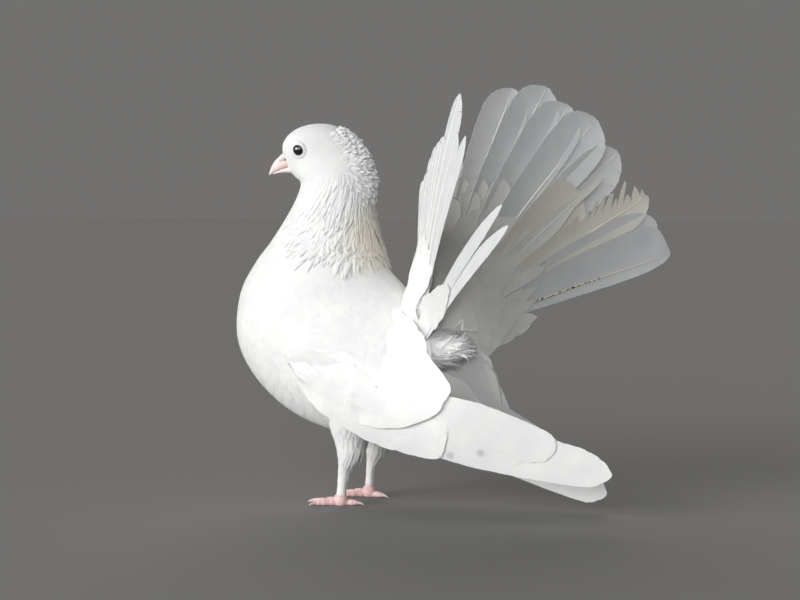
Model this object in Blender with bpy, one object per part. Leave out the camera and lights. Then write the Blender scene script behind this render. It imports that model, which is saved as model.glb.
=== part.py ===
# Indian fantail pigeon, a still life-size model standing on its two feet.
# Sizes are in millimetres, turned to metres when a mesh is made. The bird faces -X and its left side is -Y.
import math

import bmesh
import bpy
import numpy as np
from mathutils import Vector
from mathutils.bvhtree import BVHTree

MM = 0.001
GAP = 0.3

# the head is turned to the bird's left about an upright axis through the neck
NECK_AXIS_X = -13.0
HEAD_TURN = 23.0

# body outline, from rump to collar: front point (x, z), back point (x, z), half width
TORSO_STATIONS = [
    ((40.0, 84.0), (41.0, 98.0), 9.0),
    ((37.0, 66.0), (38.0, 113.0), 21.0),
    ((28.0, 49.0), (33.5, 125.0), 32.0),
    ((12.0, 41.0), (28.0, 133.0), 39.5),
    ((-8.0, 42.5), (23.5, 138.0), 44.0),
    ((-28.0, 47.5), (20.0, 141.0), 46.0),
    ((-49.0, 58.0), (18.0, 143.5), 46.0),
    ((-68.5, 76.0), (17.0, 145.5), 45.0),
    ((-80.0, 98.5), (16.5, 147.5), 43.0),
    ((-78.5, 127.0), (16.0, 149.5), 39.5),
    ((-68.0, 147.5), (15.0, 152.0), 35.0),
    ((-58.0, 160.5), (14.0, 156.0), 31.0),
]
# neck: front, back, half width and turn in degrees; x is a reading before the turn
NECK_STATIONS = [
    ((-58.0, 160.5), (14.0, 156.0), 31.0, 0.0),
    ((-49.5, 172.0), (11.0, 168.0), 26.5, 6.0),
    ((-42.5, 183.0), (8.0, 181.0), 22.5, 13.0),
    ((-38.5, 192.0), (6.5, 192.0), 20.0, 19.0),
    ((-37.5, 197.0), (6.0, 200.0), 18.5, 23.0),
]
HEAD_STATIONS = [
    ((-37.5, 197.0), (6.0, 200.0), 18.5, 23.0),
    ((-40.0, 199.5), (4.5, 209.0), 16.4, 23.0),
    ((-42.8, 202.3), (0.0, 218.5), 14.6, 23.0),
    ((-44.4, 204.8), (-7.5, 227.5), 13.6, 23.0),
    ((-45.4, 207.0), (-16.5, 232.6), 13.0, 23.0),
    ((-46.4, 209.4), (-27.0, 233.6), 12.2, 23.0),
    ((-47.3, 211.8), (-37.0, 231.6), 10.6, 23.0),
    ((-48.0, 213.6), (-44.5, 227.0), 8.0, 23.0),
    ((-48.6, 215.6), (-48.3, 221.5), 4.2, 23.0),
]

# eye: centre on the turned profile, ball radius, its distance from the middle, and the lid round it
EYE_CENTRE = (-39.3, 217.1)
EYE_BALL = 4.3
EYE_SIDE = 8.3
LID_RING = 3.55
LID_THICK = 0.8
LID_SIDE = 11.1

# bill, on the turned profile: ends of the culmen, mouth and underline
BILL_BASE = (-43.0, 216.2)
GAPE = (-41.0, 207.6)
BILL_TIP = (-56.6, 202.2)
BILL_CHIN = (-41.0, 202.4)
BILL_HALF_WIDTH = 3.7
CERE_CENTRE = (-47.6, 214.6)
CERE_RADII = (2.9, 3.9, 2.2)
NOSTRIL_RADII = (1.5, 0.8, 0.45)

# vanes: half thickness of a flat vane and of a lock, and how far one layer lies over the next
VANE_HALF = 0.3
LOCK_HALF = 0.5
LAYER_STEP = 1.1

# rough neck feathers: tiers from collar to nape, feathers in the lowest tier
NECK_TIERS = 5
NECK_ROUND = 15
LOCK_LENGTH = 17.0
LOCK_HALF_WIDTH = 4.3
SINK = 1.7

# tail: where the quills meet, fan sweep back from the crosswise plane, forward bow of the feathers
TAIL_ROOT = (43.8, 4.0, 98.5)
TAIL_SWEEP = 40.0
TAIL_BOW = 6.5
TAIL_HALF_WIDTH = 15.0
TAIL_BLOCK = (12.0, 33.0, 3.2)
COVERT_GAP = 15.0
# feathers of each half: angle from upright, length; the left half has a gap of moulted feathers
FAR_FEATHERS = [(16.0, 158), (22.0, 165), (28.5, 174), (35.0, 179), (41.0, 184), (46.5, 178), (52.0, 176),
                (58.0, 184), (63.0, 184), (68.5, 185), (73.5, 184)]
NEAR_FEATHERS = [(16.0, 150), (21.0, 161), (26.0, 166), (31.5, 160), (37.0, 150), (61.0, 174), (66.5, 170)]

# wings: outline of the folded wing seen from the side (x, z)
WING_WRIST = (-34.0, 100.0)
WING_HALF_WIDTH = 50.5
WING_DROOP = {"left": 0.0, "right": 5.5}
COVERT_TOP = [(-34, 104), (-16, 122), (14, 127), (40, 114), (58, 93), (74, 74)]
COVERT_BOTTOM = [(-34, 97), (-22, 77), (2, 58), (26, 46), (44, 41.5), (61, 44)]
# flight feathers, from the innermost tertial to the outermost primary: first and last root, then tips
QUILL_ROOTS = ((42.0, 92.0), (30.0, 53.0))
TERTIAL_TIPS = [(104.0, 58.0), (122.0, 52.0), (135.5, 45.5)]
SECONDARY_TIPS = [(134.0, 41.5), (129.0, 38.0), (122.0, 35.5)]
PRIMARY_TIPS = [(150.0, 39.5), (158.5, 35.0), (164.0, 31.5), (168.0, 28.5), (168.0, 25.8), (163.0, 24.5)]
FLIGHT_HALF_WIDTH = 9.0
# loose scapulars of the right wing, before its droop: root, tip
SCAPULARS = [((40.0, 99.0), (73.0, 96.0)), ((42.0, 93.0), (83.0, 85.0)), ((44.0, 87.0), (93.5, 71.0))]
QUILL_DEPTH = 2.8
FLIGHT_TURN = 10.0

# legs
LEG_SIDE = 18.0
FOOT_X = {"left": -4.5, "right": -1.5}
HOCK_HEIGHT = 26.0
SHANK_RADIUS = 3.3
SOLE_DROP = 1.8
TOE_RADIUS = 2.2
CLAW_LENGTH = 4.6
# toes, inner to outer and then the hind toe: angle from straight ahead, length
TOES = [(-34.0, 14.8), (0.0, 18.0), (34.0, 15.5), (192.0, 10.5)]

COLOURS = {
    "plumage": ((0.86, 0.86, 0.84), 0.75),
    "tail_plumage": ((0.74, 0.74, 0.72), 0.7),
    "bill": ((0.80, 0.58, 0.52), 0.45),
    "cere": ((0.86, 0.76, 0.73), 0.8),
    "eye": ((0.012, 0.010, 0.012), 0.08),
    "foot": ((0.72, 0.36, 0.34), 0.6),
    "claw": ((0.62, 0.52, 0.46), 0.4),
}


def material(name):
    found = bpy.data.materials.get(name)
    if found:
        return found
    made = bpy.data.materials.new(name)
    made.use_nodes = True
    shader = made.node_tree.nodes["Principled BSDF"]
    colour, roughness = COLOURS[name]
    shader.inputs["Base Color"].default_value = (*colour, 1.0)
    shader.inputs["Roughness"].default_value = roughness
    shader.inputs["Metallic"].default_value = 0.0
    return made


def mesh_object(name, points, faces, material_name):
    mesh = bpy.data.meshes.new(name)
    mesh.from_pydata([tuple(p) for p in np.asarray(points) * MM], [], faces)
    mesh.validate()
    made = bpy.data.objects.new(name, mesh)
    bpy.context.scene.collection.objects.link(made)
    mesh.materials.append(material(material_name))
    face_outward(made)
    return made


def face_outward(thing):
    work = bmesh.new()
    work.from_mesh(thing.data)
    bmesh.ops.recalc_face_normals(work, faces=work.faces)
    if work.calc_volume(signed=True) < 0:
        bmesh.ops.reverse_faces(work, faces=work.faces)
    work.to_mesh(thing.data)
    work.free()


def shade_round(thing, angle=50.0):
    thing.data.shade_smooth()
    thing.data.set_sharp_from_angle(angle=math.radians(angle))


def smooth_rows(rows, steps):
    # Catmull-Rom through the rows, with end rows mirrored
    rows = np.asarray(rows, float)
    padded = np.vstack([2 * rows[0] - rows[1], rows, 2 * rows[-1] - rows[-2]])
    out = []
    for i in range(1, len(padded) - 2):
        a, b, c, d = padded[i - 1:i + 3]
        for k in range(steps):
            t = k / steps
            out.append(0.5 * (2 * b + (c - a) * t + (2 * a - 5 * b + 4 * c - d) * t ** 2
                              + (3 * b - a - 3 * c + d) * t ** 3))
    out.append(rows[-1])
    return np.array(out)


def turned(point, degrees):
    # turns a point about the upright neck axis
    x, y, z = point
    angle = math.radians(degrees)
    reach = x - NECK_AXIS_X
    return (NECK_AXIS_X + reach * math.cos(angle) - y * math.sin(angle),
            reach * math.sin(angle) + y * math.cos(angle), z)


def station_rows(stations):
    return [(*front, *back, width, *rest) for front, back, width, *rest in stations]


def ring(row, sides):
    # an ellipse in the plane of the front point, the back point and the sideways direction
    front = np.array([row[0], 0.0, row[1]])
    back = np.array([row[2], 0.0, row[3]])
    turn = row[5] if len(row) > 5 else 0.0
    centre = (front + back) / 2
    reach = (front - back) / 2
    points = []
    for k in range(sides):
        angle = 2 * math.pi * (k + 0.5) / sides
        point = centre + reach * math.cos(angle) + np.array([0.0, row[4], 0.0]) * math.sin(angle)
        points.append(turned(point, turn))
    return np.array(points)


def loft(name, rings, material_name):
    sides = len(rings[0])
    points = np.vstack(rings)
    faces = []
    for r in range(len(rings) - 1):
        for k in range(sides):
            n = (k + 1) % sides
            faces.append((r * sides + k, r * sides + n, (r + 1) * sides + n, (r + 1) * sides + k))
    faces.append(tuple(range(sides - 1, -1, -1)))
    last = (len(rings) - 1) * sides
    faces.append(tuple(range(last, last + sides)))
    return mesh_object(name, points, faces, material_name)


def raised_ring(points, amount):
    # moves a flat ring along its own normal, upwards
    normal = np.cross(points[len(points) // 3] - points[0], points[2 * len(points) // 3] - points[0])
    normal /= np.linalg.norm(normal)
    if normal[2] < 0:
        normal = -normal
    return points + normal * amount


def apply_modifiers(thing):
    evaluated = thing.evaluated_get(bpy.context.evaluated_depsgraph_get())
    mesh = bpy.data.meshes.new_from_object(evaluated)
    thing.modifiers.clear()
    thing.data = mesh


def boolean(thing, other, operation, solver="EXACT", keep_other=False):
    step = thing.modifiers.new(operation.lower(), "BOOLEAN")
    step.operation = operation
    step.solver = solver
    step.object = other
    apply_modifiers(thing)
    if not keep_other:
        bpy.data.objects.remove(other)


def inflated(thing, gap=GAP + 0.05):
    # a copy moved outwards along its vertex normals, to cut a neighbour clear by the gap
    mesh = thing.data.copy()
    made = bpy.data.objects.new(thing.name + "_cutter", mesh)
    bpy.context.scene.collection.objects.link(made)
    normals = np.zeros(len(mesh.vertices) * 3)
    mesh.vertex_normals.foreach_get("vector", normals)
    points = np.zeros(len(mesh.vertices) * 3)
    mesh.vertices.foreach_get("co", points)
    mesh.vertices.foreach_set("co", points + normals * gap * MM)
    mesh.update()
    made.hide_render = True
    made.display_type = "WIRE"
    return made


def cut_clear(thing, *neighbours):
    for neighbour in neighbours:
        boolean(thing, inflated(neighbour), "DIFFERENCE")
    keep_largest(thing)


def keep_largest(thing):
    # keeps the closed surface that holds the most, and drops sealed hollows and loose scraps
    work = bmesh.new()
    work.from_mesh(thing.data)
    left = set(work.faces)
    groups = []
    while left:
        front = [left.pop()]
        group = list(front)
        while front:
            face = front.pop()
            for edge in face.edges:
                for near in edge.link_faces:
                    if near in left:
                        left.remove(near)
                        front.append(near)
                        group.append(near)
        groups.append(group)
    volume = [sum(f.calc_center_median().dot(f.normal) * f.calc_area() for f in g) for g in groups]
    best = int(np.argmax(volume))
    drop = [f for i, g in enumerate(groups) if i != best for f in g]
    bmesh.ops.delete(work, geom=drop, context="FACES")
    loose = [v for v in work.verts if not v.link_faces]
    bmesh.ops.delete(work, geom=loose, context="VERTS")
    work.to_mesh(thing.data)
    work.free()


def vane_mesh(centres, across, normals, half_widths, camber=0.0):
    # flat sections with a raised middle, split into triangles alike on both faces
    points = []
    for c, a, n, w in zip(centres, across, normals, half_widths):
        lift = n * camber * w
        points += [c - a * w - n * VANE_HALF, c + lift - n * VANE_HALF, c + a * w - n * VANE_HALF,
                   c + a * w + n * VANE_HALF, c + lift + n * VANE_HALF, c - a * w + n * VANE_HALF]
    faces = []
    for r in range(len(centres) - 1):
        low, high = r * 6, r * 6 + 6
        for k, n in ((0, 1), (1, 2), (2, 3), (3, 4), (4, 5), (5, 0)):
            if k in (0, 3, 2):
                faces += [(low + k, low + n, high + n), (low + k, high + n, high + k)]
            else:
                faces += [(low + k, low + n, high + k), (low + n, high + n, high + k)]
    for e in (0, 6 * (len(centres) - 1)):
        faces += [(e, e + 4, e + 5), (e, e + 1, e + 4), (e + 1, e + 3, e + 4), (e + 1, e + 2, e + 3)]
    return points, faces


def lock_mesh(centres, across, normals, half_widths):
    # diamond sections that end in a point
    points = []
    for c, a, n, w in zip(centres[:-1], across, normals, half_widths):
        points += [c - a * w, c - n * LOCK_HALF, c + a * w, c + n * LOCK_HALF]
    points.append(centres[-1])
    faces = []
    sections = len(centres) - 1
    for r in range(sections - 1):
        low, high = r * 4, r * 4 + 4
        for k in range(4):
            n = (k + 1) % 4
            if k % 2 == 0:
                faces += [(low + k, low + n, high + n), (low + k, high + n, high + k)]
            else:
                faces += [(low + k, low + n, high + k), (low + n, high + n, high + k)]
    last = sections * 4 - 4
    faces += [(last + k, last + (k + 1) % 4, last + 4) for k in range(4)]
    faces += [(0, 1, 3), (1, 2, 3)]
    return points, faces


def unit(vector):
    return np.asarray(vector, float) / np.linalg.norm(vector)


def fuse(thing, pieces, solver="EXACT"):
    # one union of the thing with a collection of closed pieces, which are objects or points and faces
    group = bpy.data.collections.new("pieces")
    bpy.context.scene.collection.children.link(group)
    made = []
    for piece in pieces:
        if isinstance(piece, tuple):
            piece = mesh_object("piece", *piece, "plumage")
        piece.data.materials.clear()
        piece.data.materials.append(thing.data.materials[0])
        bpy.context.scene.collection.objects.unlink(piece)
        group.objects.link(piece)
        made.append(piece)
    step = thing.modifiers.new("union", "BOOLEAN")
    step.operation = "UNION"
    step.operand_type = "COLLECTION"
    step.collection = group
    step.solver = solver
    apply_modifiers(thing)
    for piece in made:
        bpy.data.objects.remove(piece)
    bpy.data.collections.remove(group)
    keep_largest(thing)


def ball(name, centre, radii, material_name, segments=20, rings=12, turn=None):
    work = bmesh.new()
    bmesh.ops.create_uvsphere(work, u_segments=segments, v_segments=rings, radius=1.0)
    points = np.array([v.co[:] for v in work.verts]) * np.asarray(radii)
    faces = [tuple(v.index for v in f.verts) for f in work.faces]
    work.free()
    if turn is not None:
        points = points @ turn.T
    return mesh_object(name, points + np.asarray(centre), faces, material_name)


def tube(name, path, radii, material_name, sides=10, flat=1.0, floor=None):
    # round sections along a path in a near-upright or level plane; the last may be a point
    path = np.asarray(path, float)
    radii = np.asarray(radii, float)
    rings = []
    for i, centre in enumerate(path):
        ahead = path[min(i + 1, len(path) - 1)] - path[max(i - 1, 0)]
        ahead /= np.linalg.norm(ahead)
        side = np.cross(ahead, [0.0, 0.0, 1.0])
        if np.linalg.norm(side) < 0.2:
            side = np.array([0.0, 1.0, 0.0])
        side /= np.linalg.norm(side)
        up = np.cross(side, ahead)
        angles = 2 * np.pi * (np.arange(sides) + 0.5) / sides
        points = (centre + np.outer(np.cos(angles), side) * radii[i]
                  + np.outer(np.sin(angles), up) * radii[i] * flat)
        if floor is not None:
            points[:, 2] = np.maximum(points[:, 2], floor)
        rings.append(points)
    return loft(name, rings, material_name)


def make_torso():
    rows = smooth_rows(station_rows(TORSO_STATIONS), 2)
    torso = loft("torso", [ring(row, 24) for row in rows], "plumage")
    shade_round(torso)
    return torso


def lock_on(point, normal, lie, length, half_width, rise, curl, keep_off=None):
    # starts under the surface, leaves along its lie, rises and curls outwards
    normal = unit(normal)
    lie = unit(lie - normal * np.dot(lie, normal))
    across = np.cross(lie, normal)
    centres = []
    for t in (0.0, 0.38, 0.74, 1.0):
        centre = point + lie * length * t + normal * (length * (rise * t + curl * t * t) - SINK)
        if keep_off is not None and t > 0.5:
            centre = kept_off(keep_off, centre, 1.4)
        centres.append(centre)
    return lock_mesh(centres, [across] * 3, [normal] * 3, [half_width * f for f in (0.62, 1.0, 0.8)])


def kept_off(tree, point, clearance):
    # moves a point out to a clearance from a surface
    near, normal, _, distance = tree.find_nearest(Vector(np.asarray(point) * MM))
    offset = Vector(np.asarray(point) * MM) - near
    outside = offset.dot(normal)
    if outside >= clearance * MM:
        return np.asarray(point, float)
    return np.array(near + normal * clearance * MM) / MM


def surface_point(rows, share, angle):
    # a point and the outward normal of a lofted skin, at a share of its length and an angle round it
    def at(place, around):
        i = min(int(place), len(rows) - 2)
        row = rows[i] + (rows[i + 1] - rows[i]) * (place - i)
        front, back = np.array([row[0], 0.0, row[1]]), np.array([row[2], 0.0, row[3]])
        point = (front + back) / 2 + (front - back) / 2 * math.cos(around)
        point = point + np.array([0.0, row[4] * math.sin(around), 0.0])
        return np.array(turned(point, row[5]))

    place = share * (len(rows) - 1)
    step = 0.05
    here = at(place, angle)
    up = at(min(place + step, len(rows) - 1.0), angle) - at(max(place - step, 0.0), angle)
    round_way = at(place, angle + 0.05) - at(place, angle - 0.05)
    normal = unit(np.cross(up, round_way))
    return here, normal, unit(up)


def neck_locks(torso):
    # tiers of lifted feathers, rougher towards the nape, smoother at the throat
    rows = smooth_rows(station_rows(NECK_STATIONS), 2)
    draw = np.random.RandomState(7)
    tree = surface_tree(torso)
    pieces = []
    for tier in range(NECK_TIERS):
        share = 0.10 + 0.84 * tier / (NECK_TIERS - 1)
        count = NECK_ROUND - tier
        for k in range(count):
            angle = 2 * math.pi * (k + 0.5 * (tier % 2) + 0.5) / count + draw.uniform(-0.07, 0.07)
            rough = 0.5 - 0.5 * math.cos(angle)
            if rough < 0.12:
                continue
            point, normal, up = surface_point(rows, share + draw.uniform(-0.03, 0.03), angle)
            size = draw.uniform(0.88, 1.12)
            away = unit(np.cross(normal, up)) * draw.uniform(-0.22, 0.22)
            rise = 0.17 + 0.09 * rough + draw.uniform(-0.03, 0.04)
            pieces.append(lock_on(point, normal, away - up, LOCK_LENGTH * size, LOCK_HALF_WIDTH * size,
                                  rise, 0.12 * rough, tree if tier < 2 else None))
    return pieces


def make_neck(torso):
    rows = smooth_rows(station_rows(NECK_STATIONS), 2)
    rings = [ring(row, 22) for row in rows]
    rings[0] = raised_ring(rings[0], GAP)
    neck = loft("neck", rings, "plumage")
    fuse(neck, neck_locks(torso))
    cut_clear(neck, torso)
    shade_round(neck, 35)
    return neck


def crest_locks():
    # the peak: feathers of the nape lie upwards and back, and turn outwards lower down
    rows = smooth_rows(station_rows(HEAD_STATIONS), 2)
    draw = np.random.RandomState(3)
    pieces = []
    for tier, (share, lean, count, spread) in enumerate(((0.07, -0.4, 6, 1.35), (0.22, 0.5, 5, 1.1),
                                                        (0.37, 1.0, 4, 0.85), (0.50, 1.0, 3, 0.5))):
        for k in range(count):
            angle = math.pi + spread * (2 * (k + 0.5) / count - 1)
            point, normal, up = surface_point(rows, share, angle)
            side = unit(np.cross(normal, up)) * draw.uniform(-0.2, 0.2)
            size = draw.uniform(0.85, 1.1)
            middle = 1 - abs(angle - math.pi) / 2.2
            pieces.append(lock_on(point, normal, up * lean + side + np.array([0, 0, 0.02]), 11.0 * size * middle,
                                  3.7 * size, 0.2 + 0.14 * middle, 0.06))
    return pieces


def make_head(neck):
    rows = smooth_rows(station_rows(HEAD_STATIONS), 2)
    rings = [ring(row, 22) for row in rows]
    rings[0] = raised_ring(rings[0], GAP)
    head = loft("head", rings, "plumage")
    lids = [lid_ring(side) for side in (-1, 1)]
    fuse(head, lids + crest_locks())
    cut_clear(head, neck)
    shade_round(head, 40)
    return head


def lid_ring(side, steps=12, sides=4):
    # a thin raised ring round the eye, laid on the side of the head
    centre = np.array(turned((EYE_CENTRE[0], side * LID_SIDE, EYE_CENTRE[1]), HEAD_TURN))
    angle = math.radians(HEAD_TURN)
    outward = unit(np.array([-math.sin(angle), math.cos(angle), 0.0]) * side
                   + np.array([-math.cos(angle), -math.sin(angle), 0.0]) * 0.16 + np.array([0.0, 0.0, 0.10]))
    first = unit(np.cross(outward, [0.0, 0.0, 1.0]))
    second = np.cross(outward, first)
    points, faces = [], []
    for i in range(steps):
        a = 2 * math.pi * i / steps
        spoke = first * math.cos(a) * 0.94 + second * math.sin(a) * 1.06
        for k in range(sides):
            b = 2 * math.pi * k / sides
            points.append(centre + spoke * (LID_RING + LID_THICK * math.cos(b)) + outward * LID_THICK * math.sin(b))
    for i in range(steps):
        for k in range(sides):
            n, m = (i + 1) % steps, (k + 1) % sides
            faces.append((i * sides + k, n * sides + k, n * sides + m, i * sides + m))
    return points, faces


def make_eyes(head):
    for side, name in ((-1, "left"), (1, "right")):
        centre = turned((EYE_CENTRE[0], side * EYE_SIDE, EYE_CENTRE[1]), HEAD_TURN)
        eye = ball("eye_" + name, centre, (EYE_BALL,) * 3, "eye", 12, 8)
        shade_round(eye, 180)
        boolean(head, inflated(eye), "DIFFERENCE")
    keep_largest(head)


def bill_loft(name, top_line, bottom_line, half_widths, material_name, sides=12):
    # sections stand between a top line and a bottom line of profile points
    rings = []
    for top, bottom, half in zip(top_line, bottom_line, half_widths):
        rings.append(ring((*top, *bottom, half, HEAD_TURN), sides))
    return loft(name, rings, material_name)


def curve_points(start, end, bend, count):
    # a line from start to end, bowed sideways by bend
    start = np.asarray(start, float)
    end = np.asarray(end, float)
    along = end - start
    side = np.array([-along[1], along[0]]) / np.linalg.norm(along)
    t = np.linspace(0, 1, count)[:, None]
    return start + along * t + side * bend * (4 * t * (1 - t))


def make_bill(head):
    count = 6
    shape = 1 - np.linspace(0, 1, count) ** 1.7 * 0.9
    top = curve_points(BILL_BASE, BILL_TIP, -2.2, count)
    mouth = curve_points(GAPE, (BILL_TIP[0] + 0.5, BILL_TIP[1] - 0.1), -0.6, count)
    upper = bill_loft("upper_bill", top, mouth, BILL_HALF_WIDTH * shape, "bill")
    low_mouth = curve_points((GAPE[0], GAPE[1] - 0.6), (BILL_TIP[0] + 2.4, BILL_TIP[1] + 0.6), -0.6, count)
    low = curve_points(BILL_CHIN, (BILL_TIP[0] + 3.0, BILL_TIP[1] + 0.1), -0.8, count)
    lower = bill_loft("lower_bill", low_mouth, low, BILL_HALF_WIDTH * 0.85 * shape, "bill")
    cut_clear(upper, head)
    cut_clear(lower, head, upper)
    cere = ball("cere", turned((CERE_CENTRE[0], 0.0, CERE_CENTRE[1]), HEAD_TURN), CERE_RADII, "cere", 14, 8)
    cut_clear(cere, head, upper)
    for side in (-1, 1):
        place = turned((CERE_CENTRE[0] + 0.6, side * CERE_RADII[1], CERE_CENTRE[1] - 0.6), HEAD_TURN)
        boolean(cere, ball("nostril", place, NOSTRIL_RADII, "cere", 8, 6), "DIFFERENCE")
    keep_largest(cere)
    for piece in (upper, lower, cere):
        shade_round(piece)


def tail_direction(angle, side, sweep=TAIL_SWEEP):
    a, s = math.radians(angle), math.radians(sweep)
    return np.array([math.sin(s) * math.sin(a), side * math.cos(s) * math.sin(a), math.cos(a)])


def tail_frame(angle, side):
    # the way along a tail feather, across it, and out of the front face of the fan
    along = tail_direction(angle, side)
    across = unit(tail_direction(angle + 0.5, side) - along)
    across = unit(across - along * np.dot(across, along))
    front = np.cross(along, across)
    return along, across, front if front[0] < 0 else -front


def tail_point(angle, side, reach, forward):
    along, _, front = tail_frame(angle, side)
    root = np.array([TAIL_ROOT[0], side * TAIL_ROOT[1], TAIL_ROOT[2]])
    share = min(reach / 180.0, 1.0)
    return root + along * reach + front * (forward + TAIL_BOW * 4 * share * (1 - share))


def fan_sector(name, side, angles, reaches, half_thick):
    # a plain curved plate over a stretch of the fan
    rings = []
    for reach, half in zip(reaches, half_thick):
        outer = [tail_point(angle, side, reach, half) for angle in angles]
        inner = [tail_point(angle, side, reach, -half) for angle in angles[::-1]]
        rings.append(np.array(outer + inner))
    return loft(name, rings, "tail_plumage")


def tail_vane(side, angle, length, gap_angle, half_width, start=12.5, forward=0.0):
    # a feather of the fan, turned a little about its length so that it lies over its neighbour
    along, across, front = tail_frame(angle, side)
    shares = (0.0, 0.2, 0.52, 0.86, 1.0)
    widths = (0.13, 0.42, 0.9, 0.94, 0.2)
    centres, acrosses, normals = [], [], []
    for share in shares:
        reach = start + (length - start) * share
        twist = math.asin(min(0.5, LAYER_STEP / (reach * math.radians(gap_angle))))
        centres.append(tail_point(angle, side, reach, forward))
        acrosses.append(across * math.cos(twist) + front * math.sin(twist))
        normals.append(front * math.cos(twist) - across * math.sin(twist))
    return vane_mesh(centres, acrosses, normals, [half_width * w for w in widths], 0.05)


def make_fan(side, name):
    feathers = FAR_FEATHERS if side > 0 else NEAR_FEATHERS
    angles = np.linspace(feathers[0][0] - 4, feathers[-1][0] + 4, 8)
    first, last, half = TAIL_BLOCK
    fan = fan_sector(name, side, angles, (first, (first + last) / 2, last), (half, half, half * 0.75))
    pieces = [tail_vane(side, angle, length, 5.5, TAIL_HALF_WIDTH) for angle, length in feathers]
    fuse(fan, pieces, "MANIFOLD")
    shade_round(fan, 30)
    return fan


def fan_cutter(side):
    cutter = fan_sector("fan_cutter", side, np.linspace(2.0, 86.0, 12), (6.0, 20.0, 40.0, 70.0, 110.0),
                        (3.7, 3.7, 3.4, 3.2, 3.2))
    cutter.hide_render = True
    return cutter


def wing_side(x, z):
    # how far the wing's outer face stands from the middle plane
    t = np.clip((x - 15.0) / 155.0, 0.0, 1.0)
    widest = WING_HALF_WIDTH - 31.0 * t ** 1.15
    middle = 92.0 - 66.0 * np.clip((x + 30.0) / 200.0, 0.0, 1.0)
    return widest * math.sqrt(max(0.15, 1 - ((z - middle) / 64.0) ** 2))


def surface_tree(thing):
    work = bmesh.new()
    work.from_mesh(thing.data)
    tree = BVHTree.FromBMesh(work)
    work.free()
    return tree


def side_reach(tree, side, x, z):
    # how far the body stands from the middle plane at this height, or 0 off the body
    start = Vector((x * MM, side * 0.2, z * MM))
    hit = tree.ray_cast(start, Vector((0.0, -side, 0.0)), 0.2)
    return abs(hit[0].y) / MM if hit[0] else 0.0


def drooped(x, z, degrees):
    # turns a point of the folded wing down about the wrist
    angle = math.radians(degrees)
    dx, dz = x - WING_WRIST[0], z - WING_WRIST[1]
    return (WING_WRIST[0] + dx * math.cos(angle) + dz * math.sin(angle),
            WING_WRIST[1] + dz * math.cos(angle) - dx * math.sin(angle))


def wing_point(side, tree, x, z, depth):
    # a place on the folded wing, at a depth under its outer sheet, drooped about the wrist
    droop = WING_DROOP["left" if side < 0 else "right"]
    y = wing_side(x, z)
    x, z = drooped(x, z, droop)
    if tree is not None:
        y = max(y, side_reach(tree, side, x, z) + 3.0)
    return np.array([x, side * (y - depth), z])


def covert_shell(side, name, tree):
    # the smooth covert part: a lens between its upper and lower edge, thin at the rear
    rings = []
    upper, lower = smooth_rows(COVERT_TOP, 2), smooth_rows(COVERT_BOTTOM, 2)
    for i, (top, bottom) in enumerate(zip(upper, lower)):
        share = i / (len(upper) - 1)
        thick = 13.0 * (1 - share) ** 0.8 + 2.2
        outer, inner = [], []
        for t in np.linspace(0, 1, 7):
            x, z = top + (bottom - top) * t
            swell = 2.2 * math.sin(math.pi * t) * math.sin(math.pi * min(1.0, 0.08 + share))
            outer.append(wing_point(side, tree, x, z, -swell))
            inner.append(wing_point(side, tree, x, z, thick))
        rings.append(np.array(outer + inner[::-1]))
    return loft(name, rings, "plumage")


def blade_on_wing(side, root, tip, half_width, depths, shares, widths, bend):
    # a feather drawn on the wing's sheet; the lower edge lies outwards over the next feather
    root, tip = np.asarray(root, float), np.asarray(tip, float)
    along = unit(tip - root)
    across = np.array([along[1], -along[0]])
    centres, acrosses, normals = [], [], []
    for share, depth in zip(shares, depths):
        flat = root + (tip - root) * share + across * bend * 4 * share * (1 - share)
        here = wing_point(side, None, *flat, depth)
        ahead = wing_point(side, None, *(flat + along), depth) - here
        low = wing_point(side, None, *(flat + across), depth) - here
        out = unit(np.cross(ahead, low))
        if out[1] * side < 0:
            out = -out
        low = unit(low - unit(ahead) * np.dot(low, unit(ahead)))
        twist = math.radians(FLIGHT_TURN)
        centres.append(here)
        acrosses.append(low * math.cos(twist) + out * math.sin(twist))
        normals.append(out * math.cos(twist) - low * math.sin(twist))
    return vane_mesh(centres, acrosses, normals, [half_width * w for w in widths], 0.04)


def flight_feathers(side):
    # each feather lies a little deeper than the one above it, by what its turn doesn't clear
    tips = np.array(TERTIAL_TIPS + SECONDARY_TIPS + PRIMARY_TIPS)
    share = np.linspace(0, 1, len(tips))[:, None]
    roots = np.array(QUILL_ROOTS[0]) * (1 - share) + np.array(QUILL_ROOTS[1]) * share
    pieces = []
    stack = 0.0
    for k, (root, tip) in enumerate(zip(roots, tips)):
        along = unit(tip - root)
        across = np.array([along[1], -along[0]])
        if k:
            step = min(abs(np.dot(root - roots[k - 1], across)), abs(np.dot(tip - tips[k - 1], across)))
            stack += max(0.0, LAYER_STEP - 0.1 - step * math.sin(math.radians(FLIGHT_TURN)))
        half = FLIGHT_HALF_WIDTH * (1.1 if k < len(TERTIAL_TIPS) else 0.92)
        shares = (0.0, 0.4, 0.84, 1.0)
        depths = [QUILL_DEPTH + stack * min(1.0, 0.3 + 2.4 * t) for t in shares]
        pieces.append(blade_on_wing(side, root, tip, half, depths, shares, (0.3, 1.0, 0.86, 0.2), 2.0))
    return pieces


def greater_coverts(side, count=6):
    # a tier over the bases of the flight feathers, rooted in the covert part
    pieces = []
    for k in range(count):
        t = (k + 0.5) / count
        root = np.array([58.0, 84.0]) * (1 - t) + np.array([44.0, 49.0]) * t
        tip = np.array([88.0, 64.0]) * (1 - t) + np.array([74.0, 42.0]) * t
        pieces.append(blade_on_wing(side, root, tip, 5.8, (1.6, -1.0, -1.0),
                                    (0.0, 0.6, 1.0), (0.6, 1.0, 0.3), 0.5))
    return pieces


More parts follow.
